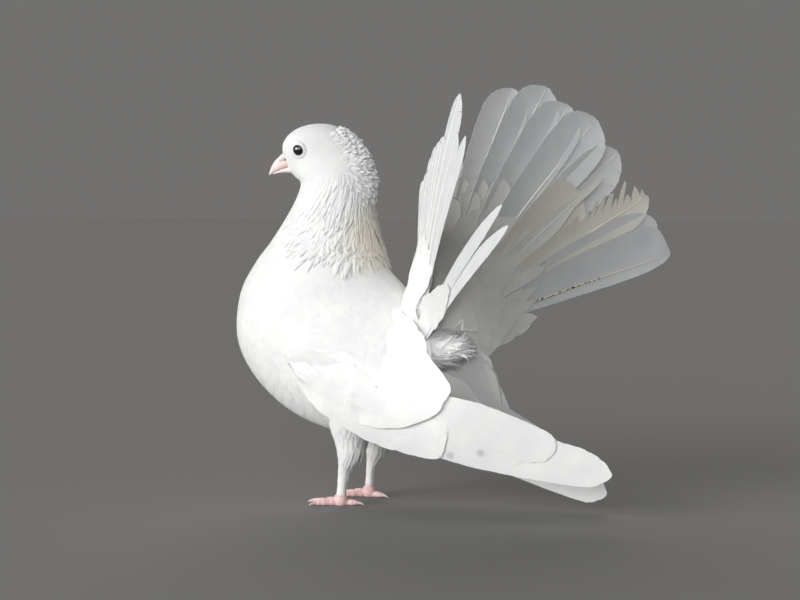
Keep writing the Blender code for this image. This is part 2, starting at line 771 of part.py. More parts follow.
def scapulars(side):
    pieces = []
    for k, (root, tip) in enumerate(SCAPULARS):
        depths = (1.8, 1.2 + 0.9 * k, 1.0 + 0.9 * k)
        pieces.append(blade_on_wing(side, root, tip, 8.5, depths, (0.0, 0.7, 1.0), (0.5, 1.0, 0.3), 1.0))
    return pieces


def make_wing(side, name, torso):
    wing = covert_shell(side, name, surface_tree(torso))
    pieces = flight_feathers(side) + greater_coverts(side)
    if side > 0:
        pieces += scapulars(side)
    fuse(wing, pieces)
    cut_clear(wing, torso)
    shade_round(wing, 30)
    return wing


def make_tail_coverts(torso):
    # the front of the tail's root, with two tiers of coverts up the front of the fan
    base = ball("tail_coverts", (38.0, 0.0, 114.0), (11.5, 17.0, 27.0), "plumage", 14, 9)
    pieces = []
    for length, forward, count, first in ((66.0, 5.4, 4, 8.0), (50.0, 8.2, 3, 15.0)):
        for side in (-1, 1):
            for k in range(count):
                angle = first + k * COVERT_GAP
                pieces.append(covert_vane(side, angle, length * (1 - 0.04 * k), forward))
    fuse(base, pieces)
    for side in (-1, 1):
        boolean(base, fan_cutter(side), "DIFFERENCE")
    cut_clear(base, torso)
    shade_round(base, 35)
    return base


def covert_vane(side, angle, length, forward):
    along, across, front = tail_frame(angle, side)
    shares = (0.0, 0.65, 1.0)
    widths = (0.5, 0.95, 0.25)
    centres = [tail_point(angle, side, 16.0 + (length - 16.0) * t, forward + 1.5 * t * t) for t in shares]
    twists = [math.asin(min(0.4, LAYER_STEP / ((16.0 + (length - 16.0) * t) * math.radians(COVERT_GAP))))
              for t in shares]
    acrosses = [across * math.cos(w) + front * math.sin(w) for w in twists]
    normals = [front * math.cos(w) - across * math.sin(w) for w in twists]
    return vane_mesh(centres, acrosses, normals, [9.0 * w for w in widths])


def make_undertail(torso, coverts):
    # the fluffy tuft behind the root of the fan
    base = ball("undertail", (52.0, 0.0, 93.0), (13.0, 13.0, 9.0), "plumage", 14, 8)
    draw = np.random.RandomState(11)
    pieces = []
    for tier, (lean, count, length) in enumerate(((-0.3, 4, 22.0), (0.1, 5, 26.0), (0.5, 4, 24.0))):
        for k in range(count):
            swing = 0.85 * (2 * (k + 0.5) / count - 1)
            way = unit([math.cos(swing), math.sin(swing), lean])
            across = unit(np.cross(way, [0.0, 0.0, 1.0]))
            normal = np.cross(across, way)
            start = np.array([50.0, 0.0, 92.0]) + way * 5.0
            size = draw.uniform(0.9, 1.15)
            centres = [start + way * length * size * t + normal * 4.0 * t * t * (1 if lean > 0 else -1)
                       for t in (0.0, 0.4, 0.75, 1.0)]
            pieces.append(lock_mesh(centres, [across] * 3, [normal] * 3, [4.2, 5.6, 4.2]))
    fuse(base, pieces)
    for side in (-1, 1):
        boolean(base, fan_cutter(side), "DIFFERENCE")
    cut_clear(base, torso, coverts)
    shade_round(base, 35)
    return base


def leg_x(side):
    return FOOT_X["left" if side < 0 else "right"]


def thigh_fringe(x, y):
    # short feathers that hang back over the hock
    draw = np.random.RandomState(5)
    pieces = []
    for k in range(7):
        around = math.pi * (k - 3) / 4.2
        out = np.array([math.cos(around), math.sin(around), 0.0])
        height = 35.0 + draw.uniform(-1.5, 2.5)
        point = np.array([x + 2.0, y, height]) + out * 8.2
        pieces.append(lock_on(point, out, np.array([0.25, 0.0, -1.0]), 11.0 * draw.uniform(0.85, 1.1), 2.4,
                              0.22, 0.0))
    return pieces


def make_leg(side, name, torso):
    x = leg_x(side)
    y = side * LEG_SIDE
    thigh = tube("thigh_" + name, [(x + 2, y, 60), (x + 3, y, 48), (x + 2.5, y, 40), (x + 1.5, y, 32),
                                   (x + 0.5, y, HOCK_HEIGHT)], [15.0, 13.0, 10.5, 7.5, 4.6], "plumage", 12)
    fuse(thigh, thigh_fringe(x, y))
    cut_clear(thigh, torso)
    shank = tube("shank_" + name, [(x + 0.5, y, HOCK_HEIGHT - GAP), (x, y, 18), (x, y, 10), (x, y, 6.5)],
                 [4.2, SHANK_RADIUS, SHANK_RADIUS, SHANK_RADIUS], "plumage", 12)
    cut_clear(shank, thigh)
    shade_round(shank)
    shade_round(thigh, 35)
    return shank


def make_foot(side, name, shank):
    x = leg_x(side)
    y = side * LEG_SIDE
    foot = ball("foot_" + name, (x, y, SOLE_DROP), (5.0, 4.6, 3.4), "foot", 14, 8)
    points = np.array([v.co[:] for v in foot.data.vertices])
    points[:, 2] = np.maximum(points[:, 2], 0.0)
    foot.data.vertices.foreach_set("co", points.ravel())
    toes = []
    for toe, (angle, length) in enumerate(TOES):
        a = math.radians(angle)
        way = np.array([-math.cos(a), math.sin(a) * side, 0.0])
        start = np.array([x, y, SOLE_DROP])
        path = [start, start + way * length * 0.5, start + way * length]
        toes.append(tube("toe", path, [TOE_RADIUS, TOE_RADIUS * 0.92, TOE_RADIUS * 0.84], "foot", 10, 1.0, 0.0))
        tip = path[-1] + way * GAP
        claw = tube("claw_%s_%d" % (name, toe + 1), [tip, tip + way * CLAW_LENGTH * 0.5 + [0, 0, 0.4],
                                                    tip + way * CLAW_LENGTH + [0, 0, -0.5]],
                    [1.2, 0.9, 0.3], "claw", 6, 1.0, 0.2)
        shade_round(claw)
    fuse(foot, toes)
    cut_clear(foot, shank)
    shade_round(foot)
    print("sole of", name, "foot at", x, y)


def centre_on_floor():
    # the middle of the whole bird's box is put over the origin, with the soles at z = 0
    low = np.full(3, 1e9)
    high = np.full(3, -1e9)
    things = [o for o in bpy.data.objects if o.type == "MESH"]
    for thing in things:
        points = np.array([v.co[:] for v in thing.data.vertices])
        low = np.minimum(low, points.min(axis=0))
        high = np.maximum(high, points.max(axis=0))
    shift = np.array([-(low[0] + high[0]) / 2, -(low[1] + high[1]) / 2, -low[2]])
    for thing in things:
        points = np.array([v.co[:] for v in thing.data.vertices]) + shift
        thing.data.vertices.foreach_set("co", points.ravel())
        thing.data.update()
    print("shift to the middle of the box, mm:", [round(float(v) / MM, 2) for v in shift])


def main():
    for thing in list(bpy.data.objects):
        bpy.data.objects.remove(thing)
    torso = make_torso()
    neck = make_neck(torso)
    head = make_head(neck)
    make_eyes(head)
    make_bill(head)
    coverts = make_tail_coverts(torso)
    make_undertail(torso, coverts)
    for side, name in ((-1, "left"), (1, "right")):
        fan = make_fan(side, "tail_" + name)
        cut_clear(fan, torso)
        wing = make_wing(side, "wing_" + name, torso)
        shank = make_leg(side, name, torso)
        thigh = bpy.data.objects["thigh_" + name]
        boolean(thigh, inflated(wing), "DIFFERENCE")
        keep_largest(thigh)
        make_foot(side, name, shank)
    centre_on_floor()


main()
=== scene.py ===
# Looks for a life-size white Indian fantail pigeon standing on a plain floor.
# Lengths in the dictionaries are millimetres, measured from home, the floor point between the feet.
import math
import bpy
import numpy as np
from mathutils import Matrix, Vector


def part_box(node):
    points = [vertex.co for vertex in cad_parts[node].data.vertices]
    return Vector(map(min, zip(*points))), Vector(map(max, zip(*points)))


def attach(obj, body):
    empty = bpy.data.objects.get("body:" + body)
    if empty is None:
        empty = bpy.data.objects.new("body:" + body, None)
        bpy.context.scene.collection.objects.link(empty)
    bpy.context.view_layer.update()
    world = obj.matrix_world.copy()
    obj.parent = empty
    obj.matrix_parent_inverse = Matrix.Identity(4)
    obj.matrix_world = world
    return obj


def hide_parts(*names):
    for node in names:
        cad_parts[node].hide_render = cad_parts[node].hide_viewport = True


mm = 0.001
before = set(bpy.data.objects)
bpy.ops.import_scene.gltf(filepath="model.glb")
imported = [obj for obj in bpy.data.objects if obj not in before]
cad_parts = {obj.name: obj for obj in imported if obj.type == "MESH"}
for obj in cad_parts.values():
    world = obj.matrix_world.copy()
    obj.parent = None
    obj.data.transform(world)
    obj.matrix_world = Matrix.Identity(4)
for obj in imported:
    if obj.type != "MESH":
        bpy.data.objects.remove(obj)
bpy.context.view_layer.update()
scene = bpy.context.scene


def homePoint():
    # the legs stand 4 and 1 mm ahead of home, one on either side of the middle
    left = sum(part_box("shank_left"), Vector()) / 2
    right = sum(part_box("shank_right"), Vector()) / 2
    middle = (left + right) / 2
    return np.array([middle.x + 2.5 * mm, middle.y, 0.0]) / mm


home = homePoint()


# Arrays, curves and meshes

def unit(v):
    return v / np.maximum(np.linalg.norm(v, axis=-1, keepdims=True), 1e-9)


def dot(a, b):
    return np.sum(a * b, axis=-1, keepdims=True)


def splineRows(rows, place):
    # Catmull-Rom: a smooth curve through the rows, with place counted in rows
    rows = np.asarray(rows, float)
    rows = np.vstack([2 * rows[0] - rows[1], rows, 2 * rows[-1] - rows[-2]])
    place = np.asarray(place, float)
    i = np.clip(np.floor(place).astype(int), 0, len(rows) - 4)
    t = (place - i)[..., None]
    a, b, c, d = rows[i], rows[i + 1], rows[i + 2], rows[i + 3]
    return 0.5 * (2 * b + (c - a) * t + (2 * a - 5 * b + 4 * c - d) * t ** 2
                  + (3 * b - a - 3 * c + d) * t ** 3)


def newObject(name, points, faces, maps=None, values=None, paint=None):
    # points in mm from home; faces is a list of index arrays, each row one face; maps are UV maps per point
    mesh = bpy.data.meshes.new(name)
    mesh.vertices.add(len(points))
    mesh.vertices.foreach_set("co", ((points + home) * mm).astype(np.float32).ravel())
    corners = np.concatenate([f.ravel() for f in faces])
    sizes = np.concatenate([np.full(len(f), f.shape[1]) for f in faces])
    mesh.loops.add(len(corners))
    mesh.loops.foreach_set("vertex_index", corners.astype(np.int32))
    mesh.polygons.add(len(sizes))
    mesh.polygons.foreach_set("loop_start", np.concatenate([[0], np.cumsum(sizes)[:-1]]).astype(np.int32))
    mesh.update(calc_edges=True)
    for mapName, uv in (maps or {}).items():
        layer = mesh.uv_layers.new(name=mapName)
        layer.data.foreach_set("uv", uv[corners].astype(np.float32).ravel())
    for valueName, numbers in (values or {}).items():
        mesh.attributes.new(valueName, "FLOAT", "POINT").data.foreach_set("value", numbers.astype(np.float32))
    made = bpy.data.objects.new(name, mesh)
    scene.collection.objects.link(made)
    if paint is not None:
        mesh.materials.append(paint)
    return made


def eased(t):
    # 0 to 1 with a smooth start and end
    t = np.clip(t, 0.0, 1.0)
    return t * t * (3 - 2 * t)


def fullTurn(sides):
    # evenly spaced angles round a ring, as a row
    return (2 * np.pi * np.arange(sides) / sides)[None, :]


def gridFaces(rows, columns, wrap=False):
    # quads of a grid of points, faces up when columns run to the right and rows run ahead
    r, c = np.meshgrid(np.arange(rows - 1), np.arange(columns if wrap else columns - 1), indexing="ij")
    n = (c + 1) % columns
    here, after = r * columns, (r + 1) * columns
    return np.stack([here + c, here + n, after + n, after + c], -1).reshape(-1, 4)


def repeated(faces, count, step):
    # the same faces for each of many equal pieces
    return (faces[None] + (np.arange(count) * step)[:, None, None]).reshape(-1, faces.shape[1])


def outwardFaces(points, faces):
    # the faces, turned over if they look inwards: corner . (next x last) over all triangles is 6 x volume
    volume = 0.0
    for block in faces:
        corner = (points - points.mean(axis=0))[block]
        for k in range(1, block.shape[1] - 1):
            volume += (corner[:, 0] * np.cross(corner[:, k], corner[:, k + 1])).sum()
    return faces if volume > 0 else [block[:, ::-1] for block in faces]


def tubeLoft(rings):
    # one closed tube from an array (rings, sides, 3), with flat ends
    count, sides = rings.shape[:2]
    start = np.arange(sides)[None, :]
    faces = [gridFaces(count, sides, True)[:, ::-1], start, (count - 1) * sides + start[:, ::-1]]
    points = rings.reshape(-1, 3)
    return points, outwardFaces(points, faces)


def slabFaces(rows, columns):
    # a thin closed slab: upper grid, lower grid turned over, and the four edges
    top = gridFaces(rows, columns)
    low = top[:, ::-1] + rows * columns
    loop = np.concatenate([np.arange(columns), np.arange(1, rows) * columns + columns - 1,
                           (rows - 1) * columns + np.arange(columns - 2, -1, -1),
                           np.arange(rows - 2, 0, -1) * columns])
    after = np.roll(loop, -1)
    edge = np.stack([after, loop, loop + rows * columns, after + rows * columns], -1)
    return [top, low, edge]


def ballPoints(rings, sides):
    # a unit ball as rings from pole to pole along X
    u = np.linspace(0.02, 0.98, rings)[:, None] * np.pi
    v = fullTurn(sides)
    return np.stack(np.broadcast_arrays(-np.cos(u), np.sin(u) * np.cos(v), np.sin(u) * np.sin(v)), -1)


nudge = 0.02  # a small step in a surface's own measures


def normalAt(surface, a, b):
    # the way out of a surface
    da = surface(a + nudge, b) - surface(a - nudge, b)
    db = surface(a, b + nudge) - surface(a, b - nudge)
    return unit(np.cross(da, db))


# Vanes: small feathers of the coat, all worked out at once

def ringShape(sides):
    # a flat closed section: across from -1 to 1 over the top and back underneath
    top = np.linspace(-1, 1, sides // 2 + 1)
    under = top[::-1][1:-1]
    across = np.concatenate([top, under])
    height = np.concatenate([1 - top ** 2, -(1 - under ** 2)])
    return across, height


def smallVanes(centres, across, normals, halfWidth, profile, thick, camber, sides=4):
    # every feather is a flattened tube along its own shaft: width times profile, middle raised by the camber
    count, rows = centres.shape[:2]
    ringAcross, ringHeight = ringShape(sides)
    wide = halfWidth[:, None] * profile
    side = wide[:, :, None] * ringAcross
    lift = thick[:, None, None] * ringHeight * np.linspace(1, 0.4, rows)[None, :, None]
    lift = lift - camber * wide[:, :, None] * ringAcross ** 2
    points = centres[:, :, None] + across[:, :, None] * side[..., None]
    points = points + normals[:, :, None] * lift[..., None]
    tube = gridFaces(rows, sides, True)
    start = np.arange(sides)[None, ::-1]
    tip = (rows - 1) * sides + np.arange(sides)[None, :]
    step = rows * sides
    faces = [repeated(tube, count, step), repeated(start, count, step), repeated(tip, count, step)]
    along = np.broadcast_to(np.linspace(0, 1, rows)[None, :, None], side.shape)
    flat = np.broadcast_to(ringAcross[None, None], side.shape)
    return points.reshape(-1, 3), faces, np.stack([flat, along], -1).reshape(-1, 2), step


def layOn(surface, a, b, length, steps, rise, curl, sink, drift=0.0, way=-1, outward=1.0):
    # shafts that follow a surface(a, b): they start sunk, run along a, drift along b, rise and curl off it
    speed = np.linalg.norm(surface(a + nudge, b) - surface(a - nudge, b), axis=-1) / (2 * nudge)
    s = np.asarray(steps)[None, :]
    placeA = a[:, None] + way * length[:, None] * s / np.maximum(speed, 1e-3)[:, None]
    placeB = b[:, None] + np.asarray(drift).reshape(-1, 1) * s
    normal = normalAt(surface, placeA, placeB) * outward
    rise, curl = np.asarray(rise).reshape(-1, 1), np.asarray(curl).reshape(-1, 1)
    height = length[:, None] * (rise * s + curl * s ** 2)
    centres = surface(placeA, placeB) + normal * (height - sink)[..., None]
    ahead = unit(np.gradient(centres, axis=1))
    across = unit(np.cross(ahead, normal))
    return centres, across, np.cross(across, ahead)


def joinParts(parts):
    # one set of arrays from several (points, faces, maps, values)
    points, faces, start = [], [], 0
    maps, values = {}, {}
    for p, f, m, v in parts:
        points.append(p)
        faces += [part + start for part in f]
        start += len(p)
        for key, uv in m.items():
            maps.setdefault(key, []).append(uv)
        for key, numbers in v.items():
            values.setdefault(key, []).append(numbers)
    return (np.vstack(points), faces, {k: np.vstack(u) for k, u in maps.items()},
            {k: np.concatenate(n) for k, n in values.items()})


def coatPart(shafts, halfWidth, profile, thick, camber, rootMap, tint, sides=4):
    # small vanes with their bake patch, 0.003 across at the root's place, and a tint for each feather
    points, faces, vane, step = smallVanes(*shafts, halfWidth, profile, thick, camber, sides)
    patch = np.repeat(rootMap, step, axis=0) + (vane * [0.5, 1.0] - [0.0, 0.5]) * 0.003
    return points, faces, {"OFBake": patch, "vane": vane}, {"tint": np.repeat(tint, step)}


def plainPiece(name, points, faces, paint, slot, angle=55, maps=None, values=None):
    made = newObject(name, points, faces, maps, values, paint)
    made.data.shade_smooth()
    made.data.set_sharp_from_angle(angle=math.radians(angle))
    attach(made, "root")
    return made


def tubePiece(name, rings, paint, slot, node=None, angle=55):
    # a closed tube, which stands for a node of the frame if one is named
    made = plainPiece(name, *tubeLoft(rings), paint, slot, angle)
    if node:
        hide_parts(node)


def slabPiece(name, outer, inner):
    # a closed sheet of downy skin between two grids
    points = np.stack([outer, inner]).reshape(-1, 3)
    return plainPiece(name, points, outwardFaces(points, slabFaces(*outer.shape[:2])), downPaint, "plumage")


def meltedPiece(name, tubes, paint, slot, voxel, smooth, *nodes):
    # closed tubes melted into one form by voxels, then smoothed by a factor for some rounds
    points, faces = joinParts([(*tubeLoft(rings), {}, {}) for rings in tubes])[:2]
    made = newObject(name, points, faces)
    steps = {"REMESH": {"mode": "VOXEL", "voxel_size": voxel * mm, "use_smooth_shade": True},
             "SMOOTH": {"factor": smooth[0], "iterations": smooth[1]}}
    for kind, settings in steps.items():
        step = made.modifiers.new(kind, kind)
        for key, value in settings.items():
            setattr(step, key, value)
    mesh = bpy.data.meshes.new_from_object(made.evaluated_get(bpy.context.evaluated_depsgraph_get()))
    made.modifiers.clear()
    made.data = mesh
    mesh.materials.append(paint)
    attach(made, "root")
    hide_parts(*nodes)
    return made


def coatObject(name, parts, paint, slot):
    points, faces, maps, values = joinParts(parts)
    made = plainPiece(name, points, faces, paint, slot, 55, maps, values)
    print(name, "triangles", sum(len(f) * (f.shape[1] - 2) for f in faces))
    return made


# Body: one smooth form from rump to bill, the same outline as the frame's

neckAxis = -13.0
bodyStations = [  # front x, z; back x, z; half width; turn of the neck in degrees
    (40.0, 84.0, 41.0, 98.0, 9.0, 0), (37.0, 66.0, 38.0, 113.0, 21.0, 0), (28.0, 49.0, 33.5, 125.0, 32.0, 0),
    (12.0, 41.0, 28.0, 133.0, 39.5, 0), (-8.0, 42.5, 23.5, 138.0, 44.0, 0),
    (-28.0, 47.5, 20.0, 141.0, 46.0, 0), (-49.0, 58.0, 18.0, 143.5, 46.0, 0),
    (-68.5, 76.0, 17.0, 145.5, 45.0, 0), (-80.0, 98.5, 16.5, 147.5, 43.0, 0),
    (-78.5, 127.0, 16.0, 149.5, 39.5, 0), (-68.0, 147.5, 15.0, 152.0, 35.0, 0),
    (-58.0, 160.5, 14.0, 156.0, 31.0, 0), (-49.5, 172.0, 11.0, 168.0, 26.5, 6),
    (-42.5, 183.0, 8.0, 181.0, 22.5, 13), (-38.5, 192.0, 6.5, 192.0, 20.0, 19),
    (-37.5, 197.0, 6.0, 200.0, 18.5, 23), (-40.0, 199.5, 4.5, 209.0, 16.4, 23),
    (-42.8, 202.3, 0.0, 218.5, 14.6, 23), (-44.4, 204.8, -7.5, 227.5, 13.6, 23),
    (-45.4, 207.0, -16.5, 232.6, 13.0, 23), (-46.4, 209.4, -27.0, 233.6, 12.2, 23),
    (-47.3, 211.8, -37.0, 231.6, 10.6, 23), (-48.0, 213.6, -44.5, 227.0, 8.0, 23),
    (-48.6, 215.6, -48.3, 221.5, 4.2, 23)]
lastPlace = len(bodyStations) - 1
collarPlace, headPlace = 11.0, 15.0


def turned(points, degrees):
    # turned about the upright axis of the neck
    c, s = np.cos(np.radians(degrees)), np.sin(np.radians(degrees))
    x, y, z = points[..., 0] - neckAxis, points[..., 1], points[..., 2]
    return np.stack([neckAxis + x * c - y * s, x * s + y * c, z], -1)


def bodySurface(place, angle):
    # ellipses between the front and the back line, angle 0 at the front and half a turn at the back
    row = splineRows(bodyStations, np.clip(place, 0, lastPlace))
    fx, fz, bx, bz, half, turn = np.moveaxis(row, -1, 0)
    c, s = np.cos(angle), np.sin(angle)
    flat = np.stack([(fx + bx) / 2 + (fx - bx) / 2 * c, half * s, (fz + bz) / 2 + (fz - bz) / 2 * c], -1)
    return turned(flat, turn)


def bodyHalfWidth(x, z):
    # how far the torso stands from the middle plane at a point seen from the side
    rows = splineRows(bodyStations, np.linspace(0, collarPlace, 150))
    fx, fz, bx, bz, half = rows[:, :5].T
    px, pz = np.ravel(x)[:, None], np.ravel(z)[:, None]
    reach = np.hypot(bx - fx, bz - fz)
    ux, uz = (bx - fx) / reach, (bz - fz) / reach
    off = np.abs((px - fx) * uz - (pz - fz) * ux)
    along = ((px - fx) * ux + (pz - fz) * uz) / reach * 2 - 1
    off = off + 1e3 * (np.abs(along) > 1)
    best = np.argmin(off, axis=1)
    rowsOf = np.arange(len(best))
    c = np.clip(along[rowsOf, best], -1, 1)
    wide = half[best] * np.sqrt(1 - c ** 2)
    return np.where(off[rowsOf, best] < 6, wide, 0.0).reshape(np.shape(x))


# Wings: folded sheets beside the body

wing = {"wrist": (-34.0, 100.0), "halfWidth": 50.5, "droop": {-1: 0.0, 1: 5.5}, "clear": 1.2, "soft": 3.0,
        "sunk": 1.0, "length": 108.0, "depth": 60.0, "dip": (2.4, 14.0), "bulge": 64.0,
        "middle": ([-30.0, 170.0], [92.0, 26.0]),  # height of its middle line along x
        "taper": (15.0, 155.0, 31.0, 1.15)}  # from x, over a length, by how much, to a power
upperCoverts = {  # lines along the top and the foot of the group, for each side, and how its rear edge bows
    "top": {-1: [(-34, 104), (-16, 122), (14, 127), (40, 114), (60, 92), (78.5, 72.5)],
            1: [(-34, 104), (-16, 122), (14, 128), (44, 119), (69, 101), (83, 86)]},
    "low": {-1: [(-34, 97), (-26, 80), (-8, 68), (12, 60), (32, 56.5), (52, 57.0)],
            1: [(-34, 97), (-26, 80), (-6, 66), (24, 62), (58, 62), (91, 64)]},
    "bow": (2.5, -3.5), "depth": (0.6, -0.5), "border": 40.0, "free": (0.60, 0.25),
    "toBody": False, "footTo": (0.5, 0.3)}
lowerCoverts = {
    "top": {side: [(-28, 92), (-6, 92), (20, 88), (44, 82), (60, 76), (73, 69)] for side in (-1, 1)},
    "low": {side: [(-34, 97), (-22, 77), (2, 58), (26, 46.5), (49, 39.5), (71, 36)] for side in (-1, 1)},
    "bow": (3.0, 0.0), "depth": (1.4, 1.75), "border": 30.0, "free": (0.15, 0.2), "toBody": True}


def wingPoint(side, x, z, depth=0.0, clearBody=True):
    # the folded wing's sheet: half width narrows to the tips and curves in above and below its middle line
    start, span, narrowing, power = wing["taper"]
    widest = wing["halfWidth"] - narrowing * np.clip((x - start) / span, 0.0, 1.0) ** power
    middle = np.interp(x, *wing["middle"])
    y = widest * np.sqrt(np.maximum(0.15, 1 - ((z - middle) / wing["bulge"]) ** 2))
    angle = math.radians(wing["droop"][side])
    dx, dz = x - wing["wrist"][0], z - wing["wrist"][1]
    x = wing["wrist"][0] + dx * math.cos(angle) + dz * math.sin(angle)
    z = wing["wrist"][1] + dz * math.cos(angle) - dx * math.sin(angle)
    if clearBody:
        beyond = bodyHalfWidth(x, z) + wing["clear"] - y
        y = y + 0.5 * (beyond + np.hypot(beyond, wing["soft"]))
    return np.stack([x, side * (y - depth), z], -1)


def wingSheet(side, look):
    # u runs from the wrist to the rear edge, where the group rises off the body, v from its top to its foot
    def surface(u, v):
        u, v = np.broadcast_arrays(u, v)
        last = len(look["top"][side]) - 1
        top, low = [splineRows(look[key][side], u * last) for key in ("top", "low")]
        bow = np.sin(np.pi * np.clip(v, 0, 1)) * np.clip(u, 0, 1) ** 3
        flat = top + (low - top) * v[..., None] + bow[..., None] * look["bow"]
        held = 1 - eased((u - look["free"][0]) / look["free"][1])
        inside = np.minimum(u * wing["length"], v * wing["depth"])
        foot = (1 - v) * wing["depth"]
        depth = look["depth"][0] + (look["depth"][1] - look["depth"][0]) * eased(u)
        if look["toBody"]:
            inside = np.minimum(inside, foot)
        else:
            inside = np.minimum(inside, foot + 200 * eased((u - look["footTo"][0]) / look["footTo"][1]))
            depth = depth + wing["dip"][0] * (1 - eased(foot / wing["dip"][1])) * held
        buried = (1 - eased(inside / look["border"])) * held
        points = wingPoint(side, flat[..., 0], flat[..., 1], depth)
        y = np.abs(points[..., 1])
        inBody = np.maximum(bodyHalfWidth(points[..., 0], points[..., 2]) - wing["sunk"], 0.6 * y)
        points[..., 1] = side * (y + (inBody - y) * buried)
        return points
    return surface


# Large feathers: a shaft with closed slabs of barbs on both sides

quillLook = {"barbAngle": 40.0, "slabRows": 7, "thick": 0.16, "shaft": (1.25, 0.3), "camber": 0.10,
             "specks": (108.0, 22.0), "mapLength": 220.0}


def bigFeather(frameAt, start, length, widths, outline, draw, slot, slots, slabs, tear=None, tint=0.0,
               bow=1.0, ragged=1.0, columns=7, warm=0.0):
    # barbs leave the shaft at an angle, in slabs that part: x = width * outline * t, y = root + x / tan(angle)
    rows = quillLook["slabRows"]
    parts = []
    cuts = np.linspace(start, length, slabs + 1)
    cuts[1:-1] += draw.uniform(-0.22, 0.22, slabs - 1) * (length - start) / slabs
    r = cuts[:-1, None] + (cuts[1:] - cuts[:-1])[:, None] * np.linspace(0, 1, rows)[None]
    share = (r - start) / (length - start)
    t = np.linspace(0, 1, columns)
    slope = 1 / math.tan(math.radians(quillLook["barbAngle"]))
    for hand, width in zip((-1, 1), widths):
        wide = width * np.interp(share, *outline) * (1 + draw.uniform(-0.02, 0.02, share.shape))
        part = draw.uniform(0.01, 0.10, slabs)
        part = (part + (draw.rand(slabs) > 0.82) * draw.uniform(0.1, 0.35, slabs)) * ragged
        if tear is not None:
            torn, part = tear(hand, share, draw)
            wide = wide * torn
        x = wide[..., None] * t
        y = r[..., None] + x ** 1.1 * (slope / 1.25 * (1 - 0.85 * share ** 4))[..., None]
        middle = y.mean(axis=1, keepdims=True)
        y = y + (middle - y) * part[:, None, None] * t ** 3
        lift = ragged * draw.uniform(-0.12, 0.12, slabs)[:, None, None] * t
        lift = lift - quillLook["camber"] * x * t * bow
        centre, across, normal = frameAt(y.reshape(-1))
        flat = centre + across * (hand * x).reshape(-1, 1) + normal * lift.reshape(-1, 1)
        half = quillLook["thick"] * np.broadcast_to(1 - 0.55 * t, x.shape).reshape(-1, 1)
        top = (flat + normal * half).reshape(slabs, rows, columns, 3)
        low = (flat - normal * half).reshape(slabs, rows, columns, 3)
        vane = np.stack([hand * np.broadcast_to(t, x.shape), np.broadcast_to(r[..., None], x.shape)], -1)
        if hand < 0:
            top, low, vane = top[:, :, ::-1], low[:, :, ::-1], vane[:, :, ::-1]
        points = np.stack([top, low], 1).reshape(-1, 3)
        vane = np.stack([vane, vane], 1).reshape(-1, 2)
        step = 2 * rows * columns
        faces = outwardFaces(points, [repeated(f, slabs, step) for f in slabFaces(rows, columns)])
        bake = np.stack([(slot + 0.5 + 0.45 * vane[:, 0]) / slots, vane[:, 1] / quillLook["mapLength"]], -1)
        tints = np.repeat(tint + draw.uniform(-0.12, 0.12, slabs), step)
        parts.append((points, faces, {"OFBake": bake, "vane": vane},
                      {"tint": tints, "warm": np.full(len(points), warm)}))
    return parts


def shaftPart(frameAt, start, length, radii, slot, slots, speck=0.0, ivory=0.0):
    # the shaft: a tube that thins evenly to the tip, a little proud of both faces
    rings, sides = 26, 8
    reach = np.linspace(start, length, rings)
    centre, across, normal = frameAt(reach)
    radius = np.linspace(*radii, rings)[:, None, None]
    a = fullTurn(sides)[..., None]
    ring = across[:, None] * np.cos(a) + normal[:, None] * np.sin(a)
    points, faces = tubeLoft(centre[:, None] + radius * ring)
    along = np.repeat(reach, sides)
    around = np.tile(np.arange(sides) / sides, rings)
    bake = np.stack([(slot + 0.47 + 0.06 * around) / slots, along / quillLook["mapLength"]], -1)
    middle, half = quillLook["specks"]
    return (points, faces, {"OFBake": bake, "vane": np.stack([around, along], -1)},
            {"speck": speck * (np.abs(along - middle) < half), "ivory": np.full(len(points), ivory)})


tipShapes = {  # shares of the length, and how much of the width the vane has there
    "round": ([0.0, 0.1, 0.22, 0.45, 0.7, 0.81, 0.88, 0.93, 0.97, 1.0],
              [0.10, 0.22, 0.48, 0.82, 1.0, 0.98, 0.87, 0.69, 0.44, 0.10]),
    "leaf": ([0.0, 0.1, 0.3, 0.6, 0.8, 0.9, 0.96, 1.0], [0.8, 0.95, 1.0, 0.95, 0.8, 0.58, 0.36, 0.10]),
    "worn": ([0.0, 0.1, 0.22, 0.45, 0.66, 0.72, 0.80, 0.93, 0.98, 1.0],
             [0.10, 0.22, 0.48, 0.85, 1.0, 0.75, 0.42, 0.36, 0.24, 0.08]),
    "blunt": ([0.0, 0.25, 0.6, 0.82, 0.9, 0.95, 0.98, 1.0], [0.7, 1.0, 1.0, 0.97, 0.88, 0.7, 0.45, 0.12])}


# Materials

def linear(hexColour):
    # sRGB hex to the linear colour that shaders take
    parts = [int(hexColour[i:i + 2], 16) / 255 for i in (1, 3, 5)]
    return (*[p / 12.92 if p <= 0.04045 else ((p + 0.055) / 1.055) ** 2.4 for p in parts], 1.0)


def addNode(tree, kind, settings=None, inputs=None):
    # one node with its settings; an input is a value or the socket that feeds it
    node = tree.nodes.new(kind)
    for key, value in (settings or {}).items():
        setattr(node, key, value)
    for key, value in (inputs or {}).items():
        if isinstance(value, bpy.types.NodeSocket):
            tree.links.new(value, node.inputs[key])
        else:
            node.inputs[key].default_value = value
    return node


def newMaterial(name, values):
    made = bpy.data.materials.new(name)
    made.use_nodes = True
    tree = made.node_tree
    shader = tree.nodes["Principled BSDF"]
    for key, value in values.items():
        shader.inputs[key].default_value = value
    return made, tree, shader


def attribute(tree, name):
    return addNode(tree, "ShaderNodeAttribute", {"attribute_name": name}).outputs["Fac"]


def calculated(tree, operation, *values):
    return addNode(tree, "ShaderNodeMath", {"operation": operation}, dict(enumerate(values))).outputs[0]


def ranged(tree, value, low, high):
    # low to high becomes 0 to 1
    return addNode(tree, "ShaderNodeMapRange", None, {0: value, 1: low, 2: high}).outputs[0]


